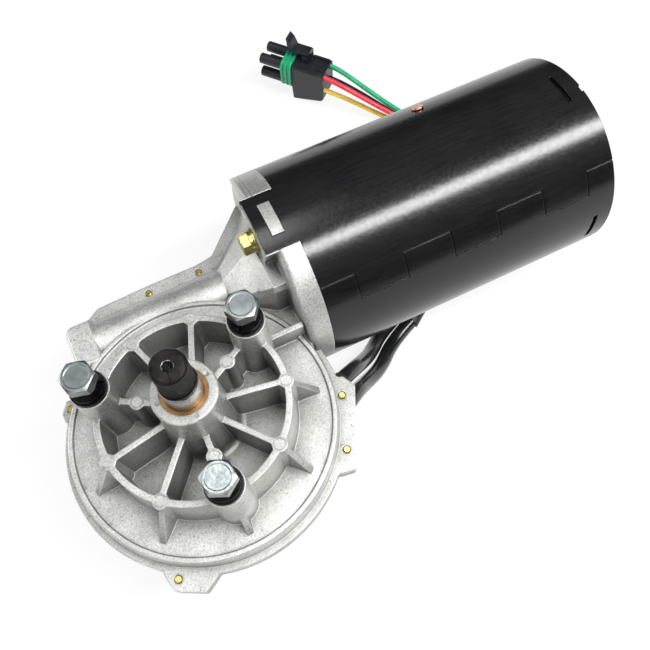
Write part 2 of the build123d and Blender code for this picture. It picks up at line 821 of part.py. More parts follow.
def worm_thread():
    """Right-handed single thread along Z, about its own middle."""
    pitch = pi * gear_module
    slope = tan(radians(tooth_slope))
    root = worm_pitch_r - tooth_dedendum - 0.15
    tip = worm_pitch_r + tooth_addendum
    wide = worm_thread_w / 2 + (worm_pitch_r - root) * slope
    thin = worm_thread_w / 2 - tooth_addendum * slope
    length = 2 * worm_half_length
    line = Helix(pitch, length, root)
    face = make_face(Polyline((root, 0, -wide), (tip, 0, -thin), (tip, 0, thin), (root, 0, wide),
                              close=True))
    return Pos(0, 0, -length / 2) * sweep(face, path=line, is_frenet=True)


def armature_shaft():
    """Motor shaft with the worm cut on its end; its thread is timed to the wheel's teeth."""
    journal_end = tunnel_end_x + 2 + worm_bush_length + 1
    root = worm_pitch_r - tooth_dedendum
    rear = tube_end_x - cap_inset
    body = disc(worm_journal_r, tunnel_end_x + 2.7, journal_end + 1)
    body += disc(root, journal_end, worm_half_length + 4)
    body += disc(shaft_main_r, worm_half_length + 3, rear - 14)
    body += disc(rear_journal_r, rear - 15, rear - 3.3)
    body += Rot(0, 0, worm_timing) * worm_thread()
    return along_motor(body)


def bearing_rings():
    middle = (bearing_bore_r + bearing_r) / 2
    x0, x1 = bearing_x, bearing_x + bearing_w
    groove = Pos(0, 0, (x0 + x1) / 2) * Torus(middle, ball_r + ball_gap)
    inner = tube_ring(middle - 1.8, bearing_bore_r, x0, x1) - groove
    outer = tube_ring(bearing_r, middle + 1.8, x0, x1) - groove
    return along_motor(inner), along_motor(outer)


def ball_angle(index):
    return 10 + 360 / ball_count * index


def bearing_balls():
    middle = (bearing_bore_r + bearing_r) / 2
    x = bearing_x + bearing_w / 2
    return [along_motor(Pos(*polar(middle, ball_angle(i)), x) * Sphere(ball_r))
            for i in range(ball_count)]


def bearing_cage():
    middle = (bearing_bore_r + bearing_r) / 2
    x = bearing_x + bearing_w / 2
    body = tube_ring(middle + 0.8, middle - 0.8, x - 3.6, x + 3.6)
    for i in range(ball_count):
        hole = Pos(0, 0, x) * Rot(0, 0, ball_angle(i)) * Rot(0, 90, 0)
        body -= hole * disc(ball_r + ball_gap, middle - 3, middle + 3)
    return along_motor(body)


def worm_bush():
    x0 = tunnel_end_x + 2.6
    inner = worm_journal_r + running_gap
    outer = worm_journal_r + worm_bush_wall
    return along_motor(tube_ring(outer, inner, x0, x0 + worm_bush_length))


def thrust_pad():
    x0 = tunnel_end_x + 2
    return motor_disc(worm_journal_r + worm_bush_wall, x0, x0 + 0.6)


def slot_plan(margin):
    outer = core_r - 3.0
    middle = outer - slot_depth / 2
    plan = Pos(middle, 0) * Rectangle(slot_depth + 2 * margin, slot_w + 2 * margin)
    return fillet(plan.vertices(), 1.5)


def armature_core():
    mouth = Pos(core_r - 1, 0) * Rectangle(5.0, 2.4)
    plan = Circle(core_r) - Circle(shaft_main_r)
    plan -= [Rot(0, 0, 360 / core_slots * i) * (slot_plan(0) + mouth) for i in range(core_slots)]
    return along_motor(Pos(0, 0, core_start_x) * extrude(plan, core_length))


def armature_windings():
    gap = 0.2
    start = core_start_x - gap
    stop = core_start_x + core_length + gap
    middle = (core_r - 3.0 + shaft_main_r + 4.0) / 2
    half = (core_r - 3.0 - shaft_main_r - 4.0) / 2 + 1.0
    ends = None
    for low in (start - winding_end, stop):
        ring = tube_ring(middle + half, middle - half, low, low + winding_end)
        ring = fillet(ring.edges(), 3.0)
        ends = ring if ends is None else ends + ring
    bar = Pos(0, 0, start - 1) * extrude(slot_plan(-gap), stop - start + 2)
    body = ends + [Rot(0, 0, 360 / core_slots * i) * bar for i in range(core_slots)]
    return along_motor(body)


def commutator():
    body = disc(commutator_r, commutator_x, commutator_x + commutator_length)
    end = commutator_x + commutator_length
    body += disc(commutator_r + 2, end, end + 2)
    cuts = [Rot(0, 0, 360 / commutator_bars * i) * block(commutator_r - 1.2, commutator_r + 4,
                                                         -0.3, 0.3, commutator_x - 1, end + 3)
            for i in range(commutator_bars)]
    return along_motor(body - disc(shaft_main_r, 0, 200) - cuts)


def magnets():
    outer = tube_r - tube_wall - 0.1
    inner = core_r + magnet_gap
    low = core_start_x - magnet_overhang
    high = core_start_x + core_length + magnet_overhang
    middle = rivet_angle - 45
    return [sector(outer, inner, low, high, middle + 90 * i - magnet_span / 2,
                   middle + 90 * i + magnet_span / 2) for i in range(4)]


def brush_plate():
    x0 = brush_cavity_floor_x
    body = motor_disc(brush_cavity_r - slip_gap, x0, x0 + brush_plate_t)
    body -= motor_disc(commutator_r + 3, x0 - 1, x0 + 5)
    for y, z in flange_bolt_places():
        body -= Location((0, y, z), (0, 90, 0)) * disc(flange_bolt_r, x0 - 1, x0 + 5)
    return body


def brush_frame(angle):
    """Places a shape, built with its length on +Z from the motor axis, at an angle about it."""
    x = brush_cavity_floor_x + brush_plate_t + brush_wall + slip_gap + brush_axial / 2
    return Location((x, motor_y, motor_z), (angle - 90, 0, 0))


def brush_boxes():
    half_w = brush_w / 2 + slip_gap
    half_x = brush_axial / 2 + slip_gap
    t = brush_wall
    boxes = []
    for angle in brush_angles:
        low, high = commutator_r + 1.5, commutator_r + 20.5
        body = block(-half_x - t, half_x + t, -half_w - t, half_w + t, low, high)
        body -= block(-half_x, half_x, -half_w, half_w, low - 1, high - t)
        body -= block(-1.5, 1.5, -half_w - 3, half_w + 3, low + 6, high - 4)
        boxes.append(brush_frame(angle) * body)
    return boxes


def brushes():
    low = commutator_r + thrust_gap
    out = []
    for angle in brush_angles:
        body = block(-brush_axial / 2, brush_axial / 2, -brush_w / 2, brush_w / 2, low - 2,
                     low + brush_length)
        body -= Rot(0, 90, 0) * Pos(0, 0, -20) * disc(low, 0, 40)
        out.append(brush_frame(angle) * body)
    return out


def brush_springs():
    low = commutator_r + thrust_gap + brush_length + 0.1
    high = commutator_r + 20.5 - brush_wall - 0.1
    wire = 0.4
    line = Helix(1.5, high - low - 2 * wire, 2.4)
    coil = sweep(Plane(line @ 0, z_dir=line % 0) * Circle(wire), path=line, is_frenet=True)
    return [brush_frame(angle) * Pos(0, 0, low + wire) * coil for angle in brush_angles]


def seam_groove():
    """Groove where the rolled sheet's ends interlock, as a square wave along the tube."""
    half = degrees(seam_w / 2 / tube_r)
    inner = tube_r - seam_depth
    upper = True
    x = tube_start_x - 1
    turns = [seam_first_x]
    while turns[-1] + seam_step < tube_end_x:
        turns.append(turns[-1] + seam_step)
    cuts = []
    for end in turns + [tube_end_x + 1]:
        angle = seam_upper_angle if upper else seam_lower_angle
        cuts.append(sector(tube_r + 1, inner, x, end, angle - half, angle + half))
        if end < tube_end_x:
            cuts.append(sector(tube_r + 1, inner, end - seam_w / 2, end + seam_w / 2,
                               seam_upper_angle - half, seam_lower_angle + half))
        x, upper = end, not upper
    return cuts


def motor_tube():
    outer, inner = tube_r, tube_r - tube_wall
    body = motor_disc(outer, tube_start_x, tube_end_x) - motor_disc(inner, 0, 300)
    for turn in (0, 180):
        tab = sector(outer, inner, tab_x, tube_start_x + 1, tab_low_angle + turn, tab_high_angle + turn)
        tab = fillet(tab.edges().filter_by(lambda edge: abs(edge.center().X - tab_x) < 0.01
                                           and edge.length < tube_wall + 0.1), 0.4)
        body += tab
        body -= sector(outer + 1, inner - 1, tab_window_x, tab_window_x + tab_window_w,
                       tab_low_angle + turn + tab_window_margin,
                       tab_high_angle + turn - tab_window_margin)
    slot_x = tube_end_x - stake_slot_inset
    for angle in (87, 177, 267, 357):
        body -= sector(outer + 1, outer - stake_slot_depth, slot_x - stake_slot_w / 2,
                       slot_x + stake_slot_w / 2, angle - stake_slot_arc / 2,
                       angle + stake_slot_arc / 2)
    body -= sector(outer + 1, inner - 1, tube_end_x - end_notch_w, tube_end_x + 1,
                   flange_bolt_angle - end_notch_arc / 2, flange_bolt_angle + end_notch_arc / 2)
    for cut in seam_groove():
        body -= cut
    return body - radial_pin(rivet_r, inner - 2, outer + 2)


def radial_pin(r, low, high):
    x, y, z = rivet_x, *motor_polar(0, 0)
    return Location((x, y, z), (rivet_angle - 90, 0, 0)) * disc(r, low, high)


def tube_rivet():
    outer, inner = tube_r, tube_r - tube_wall
    body = radial_pin(rivet_r, inner - 0.9, outer + 1.2)
    head = radial_pin(rivet_head_r, outer + 0.1, outer + 1.2)
    head = fillet(head.edges().filter_by(GeomType.CIRCLE), 0.4)
    return body + head + radial_pin(rivet_head_r, inner - 0.9, inner - 0.2)


def end_cap():
    face = tube_end_x - cap_inset
    outer = tube_r - tube_wall - 0.1
    body = disc(outer, face - cap_skirt, face)
    body = fillet(body.edges().group_by(Axis.Z)[-1], 2.0)
    body -= disc(outer - cap_t, face - cap_skirt - 1, face - cap_t)
    body += disc(cap_boss_r, face - 14, face - 1)
    body += cone(16.0, 14.0, face - 1, face + 1.5)
    body -= disc(rear_journal_r + 2 + running_gap, face - 15, face - 3)
    return along_motor(body)


def rear_bush():
    face = tube_end_x - cap_inset
    inner = rear_journal_r + running_gap
    return along_motor(tube_ring(inner + 2, inner, face - 14, face - 4))


def flange_bolts():
    out = []
    for index, (y, z) in enumerate(flange_bolt_places()):
        seat = pad_seat_x - flange_flat_t - flange_spring_t
        length = brush_cavity_floor_x + brush_plate_t + 1.0 - seat
        blank = Rot(0, 0, 12) * bolt(flange_head_flats, flange_head_t, flange_bolt_r, length)
        out.append(Location((seat, y, z), (0, -90, 0)) * blank)
    return out


def flange_bolt_washers():
    out = []
    for y, z in flange_bolt_places():
        inner = flange_bolt_r + slip_gap
        flat = tube_ring(flange_flat_r, inner, 0, flange_flat_t)
        spring = split_washer(flange_spring_r, inner, flange_flat_t,
                              flange_flat_t + flange_spring_t, washer_split)
        for ring in (flat, Rot(0, 0, 60) * spring):
            out.append(Location((pad_seat_x, y, z), (0, -90, 0)) * ring)
    return out


def bend_radii(points):
    """Radius for each corner: most of the shorter run, spread over half the turn."""
    runs = [Vector(*b) - Vector(*a) for a, b in zip(points, points[1:])]
    radii = []
    for a, b in zip(runs, runs[1:]):
        half = radians(a.get_angle(b)) / 2
        radii.append(0.45 * min(a.length, b.length) / tan(half))
    return radii


def cord(name, points, r):
    radii = bend_radii(points)
    line = FilletPolyline(*points, radius=radii)
    body = sweep(Plane(line @ 0, z_dir=line % 0) * Circle(r), path=line)
    ratio = body.volume / (pi * r * r * line.length)
    print(name, "length", round(line.length, 1), "least radius in diameters",
          round(min(radii) / (2 * r), 1), "fill", round(ratio, 4))
    return body


def lead_start(index, reach):
    point = (lead_frames()[index] * Pos(0, 0, grommet_length + reach)).position
    return (point.X, point.Y, point.Z)


def merge_frame():
    return Pos(*merge_boot_place, floor_z + merge_boot_h) * Rot(0, 0, merge_boot_turn)


def merge_end(side, reach):
    """Point on a sleeve's last straight run: side is +1 for the first sleeve, 0 for the main one."""
    x, y = polar(merge_boot_gap, merge_boot_turn + 90)
    u, v = polar(reach, merge_boot_turn)
    return (merge_boot_place[0] + side * x + u, merge_boot_place[1] + side * y + v, sleeve_z)


def first_sleeve_points():
    return [lead_start(0, 0), lead_start(0, 12), (89.0, 9.5, -86.0), (98.5, 17.0, -100.5),
            merge_end(1, -17), merge_end(1, 0)]


def second_sleeve_points():
    return [lead_start(1, 0), lead_start(1, 12), (84.5, -2.2, -86.5), (99.0, 6.0, -100.5),
            merge_end(-1, -17), merge_end(-1, 0)]


def main_sleeve_points():
    x, y = polar(15.0, end_boot_turn)
    last = (end_boot_place[0] - x, end_boot_place[1] - y, sleeve_z)
    return [merge_end(0, merge_boot_length), merge_end(0, merge_boot_length + 22),
            (193.0, 57.5, sleeve_z), (208.0, 82.0, sleeve_z), (216.5, 106.0, sleeve_z), last,
            (*end_boot_place, sleeve_z)]


def merge_boot():
    """Shrunk boot that gathers the two sleeves side by side into one."""
    wide = Plane.YZ * Ellipse(merge_boot_w, merge_boot_h)
    round_end = Plane.YZ.offset(merge_boot_length) * Circle(merge_boot_h)
    return merge_frame() * loft([wide, round_end])


def end_boot():
    frame = Pos(*end_boot_place, end_boot_z) * Rot(0, 0, end_boot_turn) * Rot(0, 90, 0)
    body = disc(end_boot_r, 0, end_boot_length)
    return frame * fillet(body.edges().group_by(Axis.Z)[-1], 1.0)


def connector_frame():
    return Pos(*connector_place, floor_z + connector_lift) * Rot(0, 0, connector_turn)


def wire_start(side, level, reach):
    x, y = polar(end_boot_length + reach, end_boot_turn)
    u, v = polar(wire_spread, end_boot_turn + 90)
    return (end_boot_place[0] + x + side * u, end_boot_place[1] + y + side * v,
            end_boot_z + level * wire_spread)


def wire_end(side, level, reach):
    point = (connector_frame() * Pos(reach, side * wire_pitch, level * wire_pitch)).position
    return (point.X, point.Y, point.Z)


def wire_points(side, level, middle):
    """Route of one wire: side is +1 for its left hand as it runs, level +1 for the upper row."""
    return [wire_start(side, level, 0), wire_start(side, level, wire_straight), *middle,
            wire_end(side, level, -wire_straight), wire_end(side, level, wire_depth)]


def wires():
    routes = {
        "wire_green": (-1, 1, ((191.5, 178.0, -102.5), (182.0, 191.0, -94.5))),
        "wire_red": (1, 1, ((186.0, 177.0, -102.5), (175.0, 188.5, -95.0))),
        "wire_yellow": (1, -1, ((184.5, 177.5, -108.8), (175.0, 189.5, -104.0))),
        "wire_black": (-1, -1, ((196.0, 179.0, -109.8), (184.5, 195.0, -106.0))),
    }
    return {name: cord(name, wire_points(*route), wire_r) for name, route in routes.items()}


def way_places():
    return [(y, z) for y in (-wire_pitch, wire_pitch) for z in (-wire_pitch, wire_pitch)]


def along_connector(y, z):
    return Pos(0, y, z) * Rot(0, 90, 0)


def connector_shell():
    low = -connector_lift
    w = shell_half_w
    side = make_face(Polyline(
        (0, 0, shell_rise), (0, 0, -12.5), (1.5, 0, -14.5), (shell_length - 2.5, 0, low),
        (shell_length - 0.6, 0, low), (shell_length, 0, -9), (shell_length, 0, shell_rise),
        close=True))
    body = extrude(side, w, dir=(0, 1, 0), both=True)
    section = Plane.YZ * make_face(Polyline(
        (-w, low), (-w, shell_rise - 0.8), (0.8 - w, shell_rise), (w - 0.8, shell_rise),
        (w, shell_rise - 0.8), (w, low), close=True))
    body &= extrude(section, shell_length)
    body += block(1, 12.5, -7.3, -5.5, shell_rise - 0.1, shell_rise + rail_t)
    body += block(1, 6.0, 3.2, 4.6, shell_rise - 0.1, shell_rise + rail_t)
    for side_y in (-1, 1):
        near = latch_y + side_y * (latch_w / 2 + slip_gap)
        far = near + side_y * latch_post_t
        body += block(latch_x - latch_r, latch_x + latch_r, min(near, far), max(near, far),
                      shell_rise - 1.5, latch_z + 1.0)
    core = Plane.YZ.offset(shell_length - 0.1) * RectangleRounded(neck_w, neck_w, seal_corner_r - 2)
    body += extrude(core, seal_length + 0.2)
    stop = shell_length + seal_length
    for y, z in way_places():
        frame = along_connector(y, z)
        tower = disc(tower_r, stop, stop + tower_length)
        tower = chamfer(tower.edges().group_by(Axis.Z)[-1], 0.5)
        body += frame * tower
        body -= frame * disc(tower_bore_r, stop + tower_length - tower_bore_depth, stop + 50)
        body -= frame * disc(wire_r + 0.5, -1, wire_depth)
    return connector_frame() * body


def connector_seal():
    """Square ring seal with three ribs round it."""
    ring = None
    rib = seal_length / 5
    for index in range(5):
        w = seal_w if index % 2 == 0 else seal_w - 1.4
        plane = Plane.YZ.offset(shell_length + rib * index)
        slab = extrude(plane * RectangleRounded(w, w, seal_corner_r), rib)
        ring = slab if ring is None else ring + slab
    hole = Plane.YZ.offset(shell_length - 1) * RectangleRounded(neck_w, neck_w, seal_corner_r - 2)
    return connector_frame() * (ring - extrude(hole, seal_length + 2))


def connector_terminals():
    low = shell_length + seal_length + tower_length - tower_bore_depth
    pin = cone(terminal_r, terminal_r - 0.5, low + terminal_length - 1, low + terminal_length)
    pin += disc(terminal_r, low, low + terminal_length - 0.9)
    return [connector_frame() * along_connector(y, z) * pin for y, z in way_places()]


def connector_latch():
    """Lever on top of the connector, with its finger tip bent up over the seal."""
    top = latch_z + latch_r + 0.9
    back = latch_x + latch_r
    outline = make_face(Polyline(
        (latch_x - latch_r, 0, latch_z), (latch_x - latch_r, 0, top), (back + 6.5, 0, top),
        (back + 9.0, 0, top + 5.6), (back + 11.8, 0, top + 8.4), (back + 10.8, 0, top - 1.4),
        (back + 9.2, 0, top - latch_t), (back, 0, top - latch_t), (back, 0, latch_z), close=True))
    body = extrude(outline, latch_w / 2, dir=(0, 1, 0), both=True)
    barrel = Rot(90, 0, 0) * disc(latch_r, -latch_w / 2, latch_w / 2)
    return connector_frame() * Pos(0, latch_y, 0) * (body + Pos(latch_x, 0, latch_z) * barrel)


def main():
    os.makedirs("parts", exist_ok=True)
    inner_ring, outer_ring = bearing_rings()
    washers = flange_bolt_washers()
    nodes = {
        "gear_housing": gear_housing(),
        "rear_cover": rear_cover(),
        "cover_gasket": cover_gasket(),
        "cover_screws": cover_screws(),
        "output_bushes": output_bushes(),
        "output_shaft": output_shaft(),
        "seal_ring": seal_ring(),
        "thrust_washer": thrust_washer(),
        "wheel_hub": wheel_hub(),
        "worm_wheel": worm_wheel(),
        "park_disc": park_disc(),
        "snap_ring": snap_ring(),
        "foot_bush": foot_bush(),
        "contact_plate": contact_plate(),
        "contact_fingers": contact_fingers(),
        "armature_shaft": armature_shaft(),
        "bearing_inner_ring": inner_ring,
        "bearing_outer_ring": outer_ring,
        "bearing_balls": bearing_balls(),
        "bearing_cage": bearing_cage(),
        "worm_bush": worm_bush(),
        "thrust_pad": thrust_pad(),
        "armature_core": armature_core(),
        "armature_windings": armature_windings(),
        "commutator": commutator(),
        "magnets": magnets(),
        "brush_plate": brush_plate(),
        "brush_boxes": brush_boxes(),
        "brushes": brushes(),
        "brush_springs": brush_springs(),
        "motor_tube": motor_tube(),
        "tube_rivet": tube_rivet(),
        "end_cap": end_cap(),
        "rear_bush": rear_bush(),
        "flange_bolts": flange_bolts(),
        "flange_flat_washers": washers[0::2],
        "flange_spring_washers": washers[1::2],
        "mounting_bolts": mounting_bolts(),
        "mounting_flat_washers": mounting_flat_washers(),
        "mounting_spring_washers": mounting_spring_washers(),
        "lead_grommets": lead_grommets(),
        "first_sleeve": cord("first_sleeve", first_sleeve_points(), sleeve_r),
        "second_sleeve": cord("second_sleeve", second_sleeve_points(), sleeve_r),
        "merge_boot": merge_boot(),
        "main_sleeve": cord("main_sleeve", main_sleeve_points(), sleeve_r),
        "end_boot": end_boot(),
        "connector_shell": connector_shell(),
        "connector_seal": connector_seal(),
        "connector_latch": connector_latch(),
        "connector_terminals": connector_terminals(),
        **wires(),
    }
    for name, shape in nodes.items():
        if isinstance(shape, list):
            shape = Compound(children=[solid for item in shape for solid in item.solids()])
        export_step(shape, f"parts/{name}.step")
        print(name, "solids", len(shape.solids()), "volume", round(shape.volume))


if __name__ == "__main__":
    main()
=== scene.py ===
import bpy
import bmesh
import math
from mathutils import Matrix, Vector


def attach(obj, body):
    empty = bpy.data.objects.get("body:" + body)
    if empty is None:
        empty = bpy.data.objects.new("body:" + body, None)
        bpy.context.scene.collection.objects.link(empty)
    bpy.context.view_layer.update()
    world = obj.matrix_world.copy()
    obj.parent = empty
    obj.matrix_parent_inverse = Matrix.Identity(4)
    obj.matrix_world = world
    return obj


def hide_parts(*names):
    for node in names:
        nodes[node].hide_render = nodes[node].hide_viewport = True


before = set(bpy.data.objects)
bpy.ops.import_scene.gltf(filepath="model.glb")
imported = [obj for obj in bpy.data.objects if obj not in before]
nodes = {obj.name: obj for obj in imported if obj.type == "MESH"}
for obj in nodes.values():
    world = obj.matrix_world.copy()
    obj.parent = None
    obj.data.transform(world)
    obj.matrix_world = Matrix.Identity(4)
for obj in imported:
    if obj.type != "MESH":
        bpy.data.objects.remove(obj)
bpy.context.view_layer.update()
print("frame loaded:", len(nodes), "nodes")


cameraView = {
    "place": (0.017457, -0.107728, 0.269876),
    "right": (0.89943, -0.43656, -0.02108),
    "up": (0.40641, 0.81761, 0.40784),
    "lens": 38.226,
    "sensor": 36.0,
    "near": 0.01,
    "far": 20.0,
}


def placeCamera():
    camera = bpy.data.objects.new("camera", bpy.data.cameras.new("camera"))
    bpy.context.scene.collection.objects.link(camera)
    right = Vector(cameraView["right"]).normalized()
    back = right.cross(Vector(cameraView["up"])).normalized()
    up = back.cross(right)
    facing = Matrix((right, up, back)).transposed()
    camera.matrix_world = Matrix.Translation(cameraView["place"]) @ facing.to_4x4()
    camera.data.lens = cameraView["lens"]
    camera.data.sensor_width = cameraView["sensor"]
    camera.data.clip_start = cameraView["near"]
    camera.data.clip_end = cameraView["far"]
    bpy.context.scene.camera = camera


placeCamera()
print("camera placed")


def newFinish(name, colour, metallic=0.0, roughness=0.5, coat=0.0, coatRoughness=0.05, specular=0.5):
    # a material with its shader set, and the object's own coordinates for its patterns
    material = bpy.data.materials.new(name)
    material.use_nodes = True
    tree = material.node_tree
    shader = tree.nodes["Principled BSDF"]
    shader.inputs["Base Color"].default_value = (*colour, 1.0)
    shader.inputs["Metallic"].default_value = metallic
    shader.inputs["Roughness"].default_value = roughness
    shader.inputs["Coat Weight"].default_value = coat
    shader.inputs["Coat Roughness"].default_value = coatRoughness
    shader.inputs["Specular IOR Level"].default_value = specular
    coords = tree.nodes.new("ShaderNodeTexCoord").outputs["Object"]
    return material, tree, shader, coords


def stretched(tree, coords, scale):
    mapping = tree.nodes.new("ShaderNodeMapping")
    mapping.inputs["Scale"].default_value = scale
    tree.links.new(coords, mapping.inputs["Vector"])
    return mapping.outputs["Vector"]


def noiseOf(tree, coords, scale, detail=3.0, roughness=0.55):
    noise = tree.nodes.new("ShaderNodeTexNoise")
    noise.inputs["Scale"].default_value = scale
    noise.inputs["Detail"].default_value = detail
    noise.inputs["Roughness"].default_value = roughness
    tree.links.new(coords, noise.inputs["Vector"])
    return noise.outputs["Fac"]


def shade(tree, value, low, high, start=0.35, stop=0.65):
    # colours between low and high as a pattern runs from start to stop
    ramp = tree.nodes.new("ShaderNodeValToRGB")
    ramp.color_ramp.elements[0].position = start
    ramp.color_ramp.elements[1].position = stop
    ramp.color_ramp.elements[0].color = (*low, 1.0)
    ramp.color_ramp.elements[1].color = (*high, 1.0)
    tree.links.new(value, ramp.inputs["Fac"])
    return ramp.outputs["Color"]


def spread(tree, value, low, high, start=0.3, stop=0.7):
    # a number between low and high as a pattern runs from start to stop
    span = tree.nodes.new("ShaderNodeMapRange")
    span.inputs["From Min"].default_value = start
    span.inputs["From Max"].default_value = stop
    span.inputs["To Min"].default_value = low
    span.inputs["To Max"].default_value = high
    tree.links.new(value, span.inputs["Value"])
    return span.outputs["Result"]


def raised(tree, value, strength, distance, below):
    bump = tree.nodes.new("ShaderNodeBump")
    bump.inputs["Strength"].default_value = strength
    bump.inputs["Distance"].default_value = distance
    tree.links.new(value, bump.inputs["Height"])
    tree.links.new(below, bump.inputs["Normal"])
    return bump.outputs["Normal"]


def softEdges(tree, radius, samples=6):
    bevel = tree.nodes.new("ShaderNodeBevel")
    bevel.samples = samples
    bevel.inputs["Radius"].default_value = radius
    return bevel.outputs["Normal"]


def wearAndGlowEdges(tree, radius, amount):
    # how far the softened normal leans from the true one, so that edges can be picked out and lightened for
    # rubbed wear and a painted highlight
    true = tree.nodes.new("ShaderNodeNewGeometry")
    lean = tree.nodes.new("ShaderNodeVectorMath")
    lean.operation = "DOT_PRODUCT"
    tree.links.new(softEdges(tree, radius, samples=4), lean.inputs[0])
    tree.links.new(true.outputs["Normal"], lean.inputs[1])
    return spread(tree, lean.outputs["Value"], 0.0, amount, start=0.995, stop=0.86)


def blended(tree, factor, first, second, way="MIX"):
    # each input is either a socket to link or a plain value
    mix = tree.nodes.new("ShaderNodeMixRGB")
    mix.blend_type = way
    for socket, value in ((mix.inputs[0], factor), (mix.inputs[1], first), (mix.inputs[2], second)):
        if isinstance(value, bpy.types.NodeSocket):
            tree.links.new(value, socket)
        elif isinstance(value, tuple):
            socket.default_value = (*value, 1.0)
        else:
            socket.default_value = value
    return mix.outputs[0]


def castAluminium(name, low, high, roughness, edge):
    # die casting after tumbling: dark and bright grains, slow patches of tone, painted shade in hollows,
    # edges lightened by rubbing and a painted highlight
    white = (1.0, 1.0, 1.0)
    material, tree, shader, coords = newFinish(name, high, metallic=0.75, roughness=roughness)
    patches = noiseOf(tree, coords, 38.0, detail=4.0, roughness=0.6)
    grain = noiseOf(tree, coords, 1300.0, roughness=0.75)
    pits = noiseOf(tree, coords, 420.0, detail=2.0, roughness=0.6)
    tone = shade(tree, patches, low, high, start=0.3, stop=0.62)
    speckle = shade(tree, grain, (0.46, 0.46, 0.45), white, start=0.34, stop=0.58)
    pitTone = shade(tree, pits, (0.55, 0.55, 0.55), white, start=0.26, stop=0.36)
    grained = blended(tree, 0.85, tone, speckle, "MULTIPLY")
    pitted = blended(tree, 1.0, grained, pitTone, "MULTIPLY")
    # hollows and inner corners are darkened by ambient occlusion: painted shade
    hollow = tree.nodes.new("ShaderNodeAmbientOcclusion")
    hollow.samples = 6
    hollow.inputs["Distance"].default_value = 0.016
    paintedShade = shade(tree, hollow.outputs["AO"], (0.34, 0.34, 0.33), white, start=0.25, stop=0.88)
    shadedInHollows = blended(tree, 1.0, pitted, paintedShade, "MULTIPLY")
    # edges lightened towards pale grey: rubbed wear and a painted highlight
    rubbedAndHighlit = blended(tree, wearAndGlowEdges(tree, edge, 0.55), shadedInHollows, (0.86, 0.86, 0.85))
    tree.links.new(rubbedAndHighlit, shader.inputs["Base Color"])
    tree.links.new(spread(tree, grain, roughness - 0.1, roughness + 0.14), shader.inputs["Roughness"])
    normal = raised(tree, grain, 0.5, 0.00018, softEdges(tree, edge))
    tree.links.new(normal, shader.inputs["Normal"])
    return material


def enamelledSteel(name):
    # black enamel over drawn steel: faint orange peel, dull patches and hairline scuffs
    material, tree, shader, coords = newFinish(
        name, (0.004, 0.004, 0.0042), roughness=0.19, coat=0.06, coatRoughness=0.16, specular=0.42)
    patches = noiseOf(tree, coords, 26.0)
    peel = noiseOf(tree, coords, 620.0, roughness=0.6)
    scuffs = noiseOf(tree, stretched(tree, coords, (60.0, 900.0, 900.0)), 1.0, roughness=0.7)
    tone = shade(tree, patches, (0.0025, 0.0025, 0.003), (0.006, 0.006, 0.006))
    scuffed = blended(tree, spread(tree, scuffs, 0.0, 0.03), tone, (0.2, 0.2, 0.2))
    tree.links.new(scuffed, shader.inputs["Base Color"])
    tree.links.new(spread(tree, peel, 0.16, 0.24), shader.inputs["Roughness"])
    tree.links.new(raised(tree, peel, 0.2, 0.00016, softEdges(tree, 0.0004)), shader.inputs["Normal"])
    return material


def platedSteel(name, low, high, roughness, streaks=(1, 1, 1)):
    # plated or turned steel: tone that drifts, with fine marks along one way
    material, tree, shader, coords = newFinish(name, high, metallic=1.0, roughness=roughness)
    patches = noiseOf(tree, coords, 160.0)
    marks = noiseOf(tree, stretched(tree, coords, streaks), 900.0, detail=2.0)
    tree.links.new(shade(tree, patches, low, high, start=0.3, stop=0.7), shader.inputs["Base Color"])
    tree.links.new(spread(tree, marks, roughness - 0.08, roughness + 0.1), shader.inputs["Roughness"])
    tree.links.new(raised(tree, marks, 0.12, 0.00008, softEdges(tree, 0.0003)), shader.inputs["Normal"])
    return material


def mouldedPlastic(name, low, high, roughness, grainSize=900.0, grainDepth=0.00006, coat=0.0):
    # plastic or rubber: tone that drifts a little, over the mould's fine grain
    material, tree, shader, coords = newFinish(name, high, roughness=roughness, coat=coat,
                                               coatRoughness=0.15)
    patches = noiseOf(tree, coords, 90.0)
    grain = noiseOf(tree, coords, grainSize, detail=2.0)
    tree.links.new(shade(tree, patches, low, high, start=0.3, stop=0.7), shader.inputs["Base Color"])
    tree.links.new(spread(tree, patches, roughness - 0.06, roughness + 0.08), shader.inputs["Roughness"])
    tree.links.new(raised(tree, grain, 0.25, grainDepth, softEdges(tree, 0.0004)), shader.inputs["Normal"])
    return material


def wireCoat(name, low, high):
    return mouldedPlastic(name, low, high, 0.34, grainSize=400.0, grainDepth=0.00003, coat=0.2)


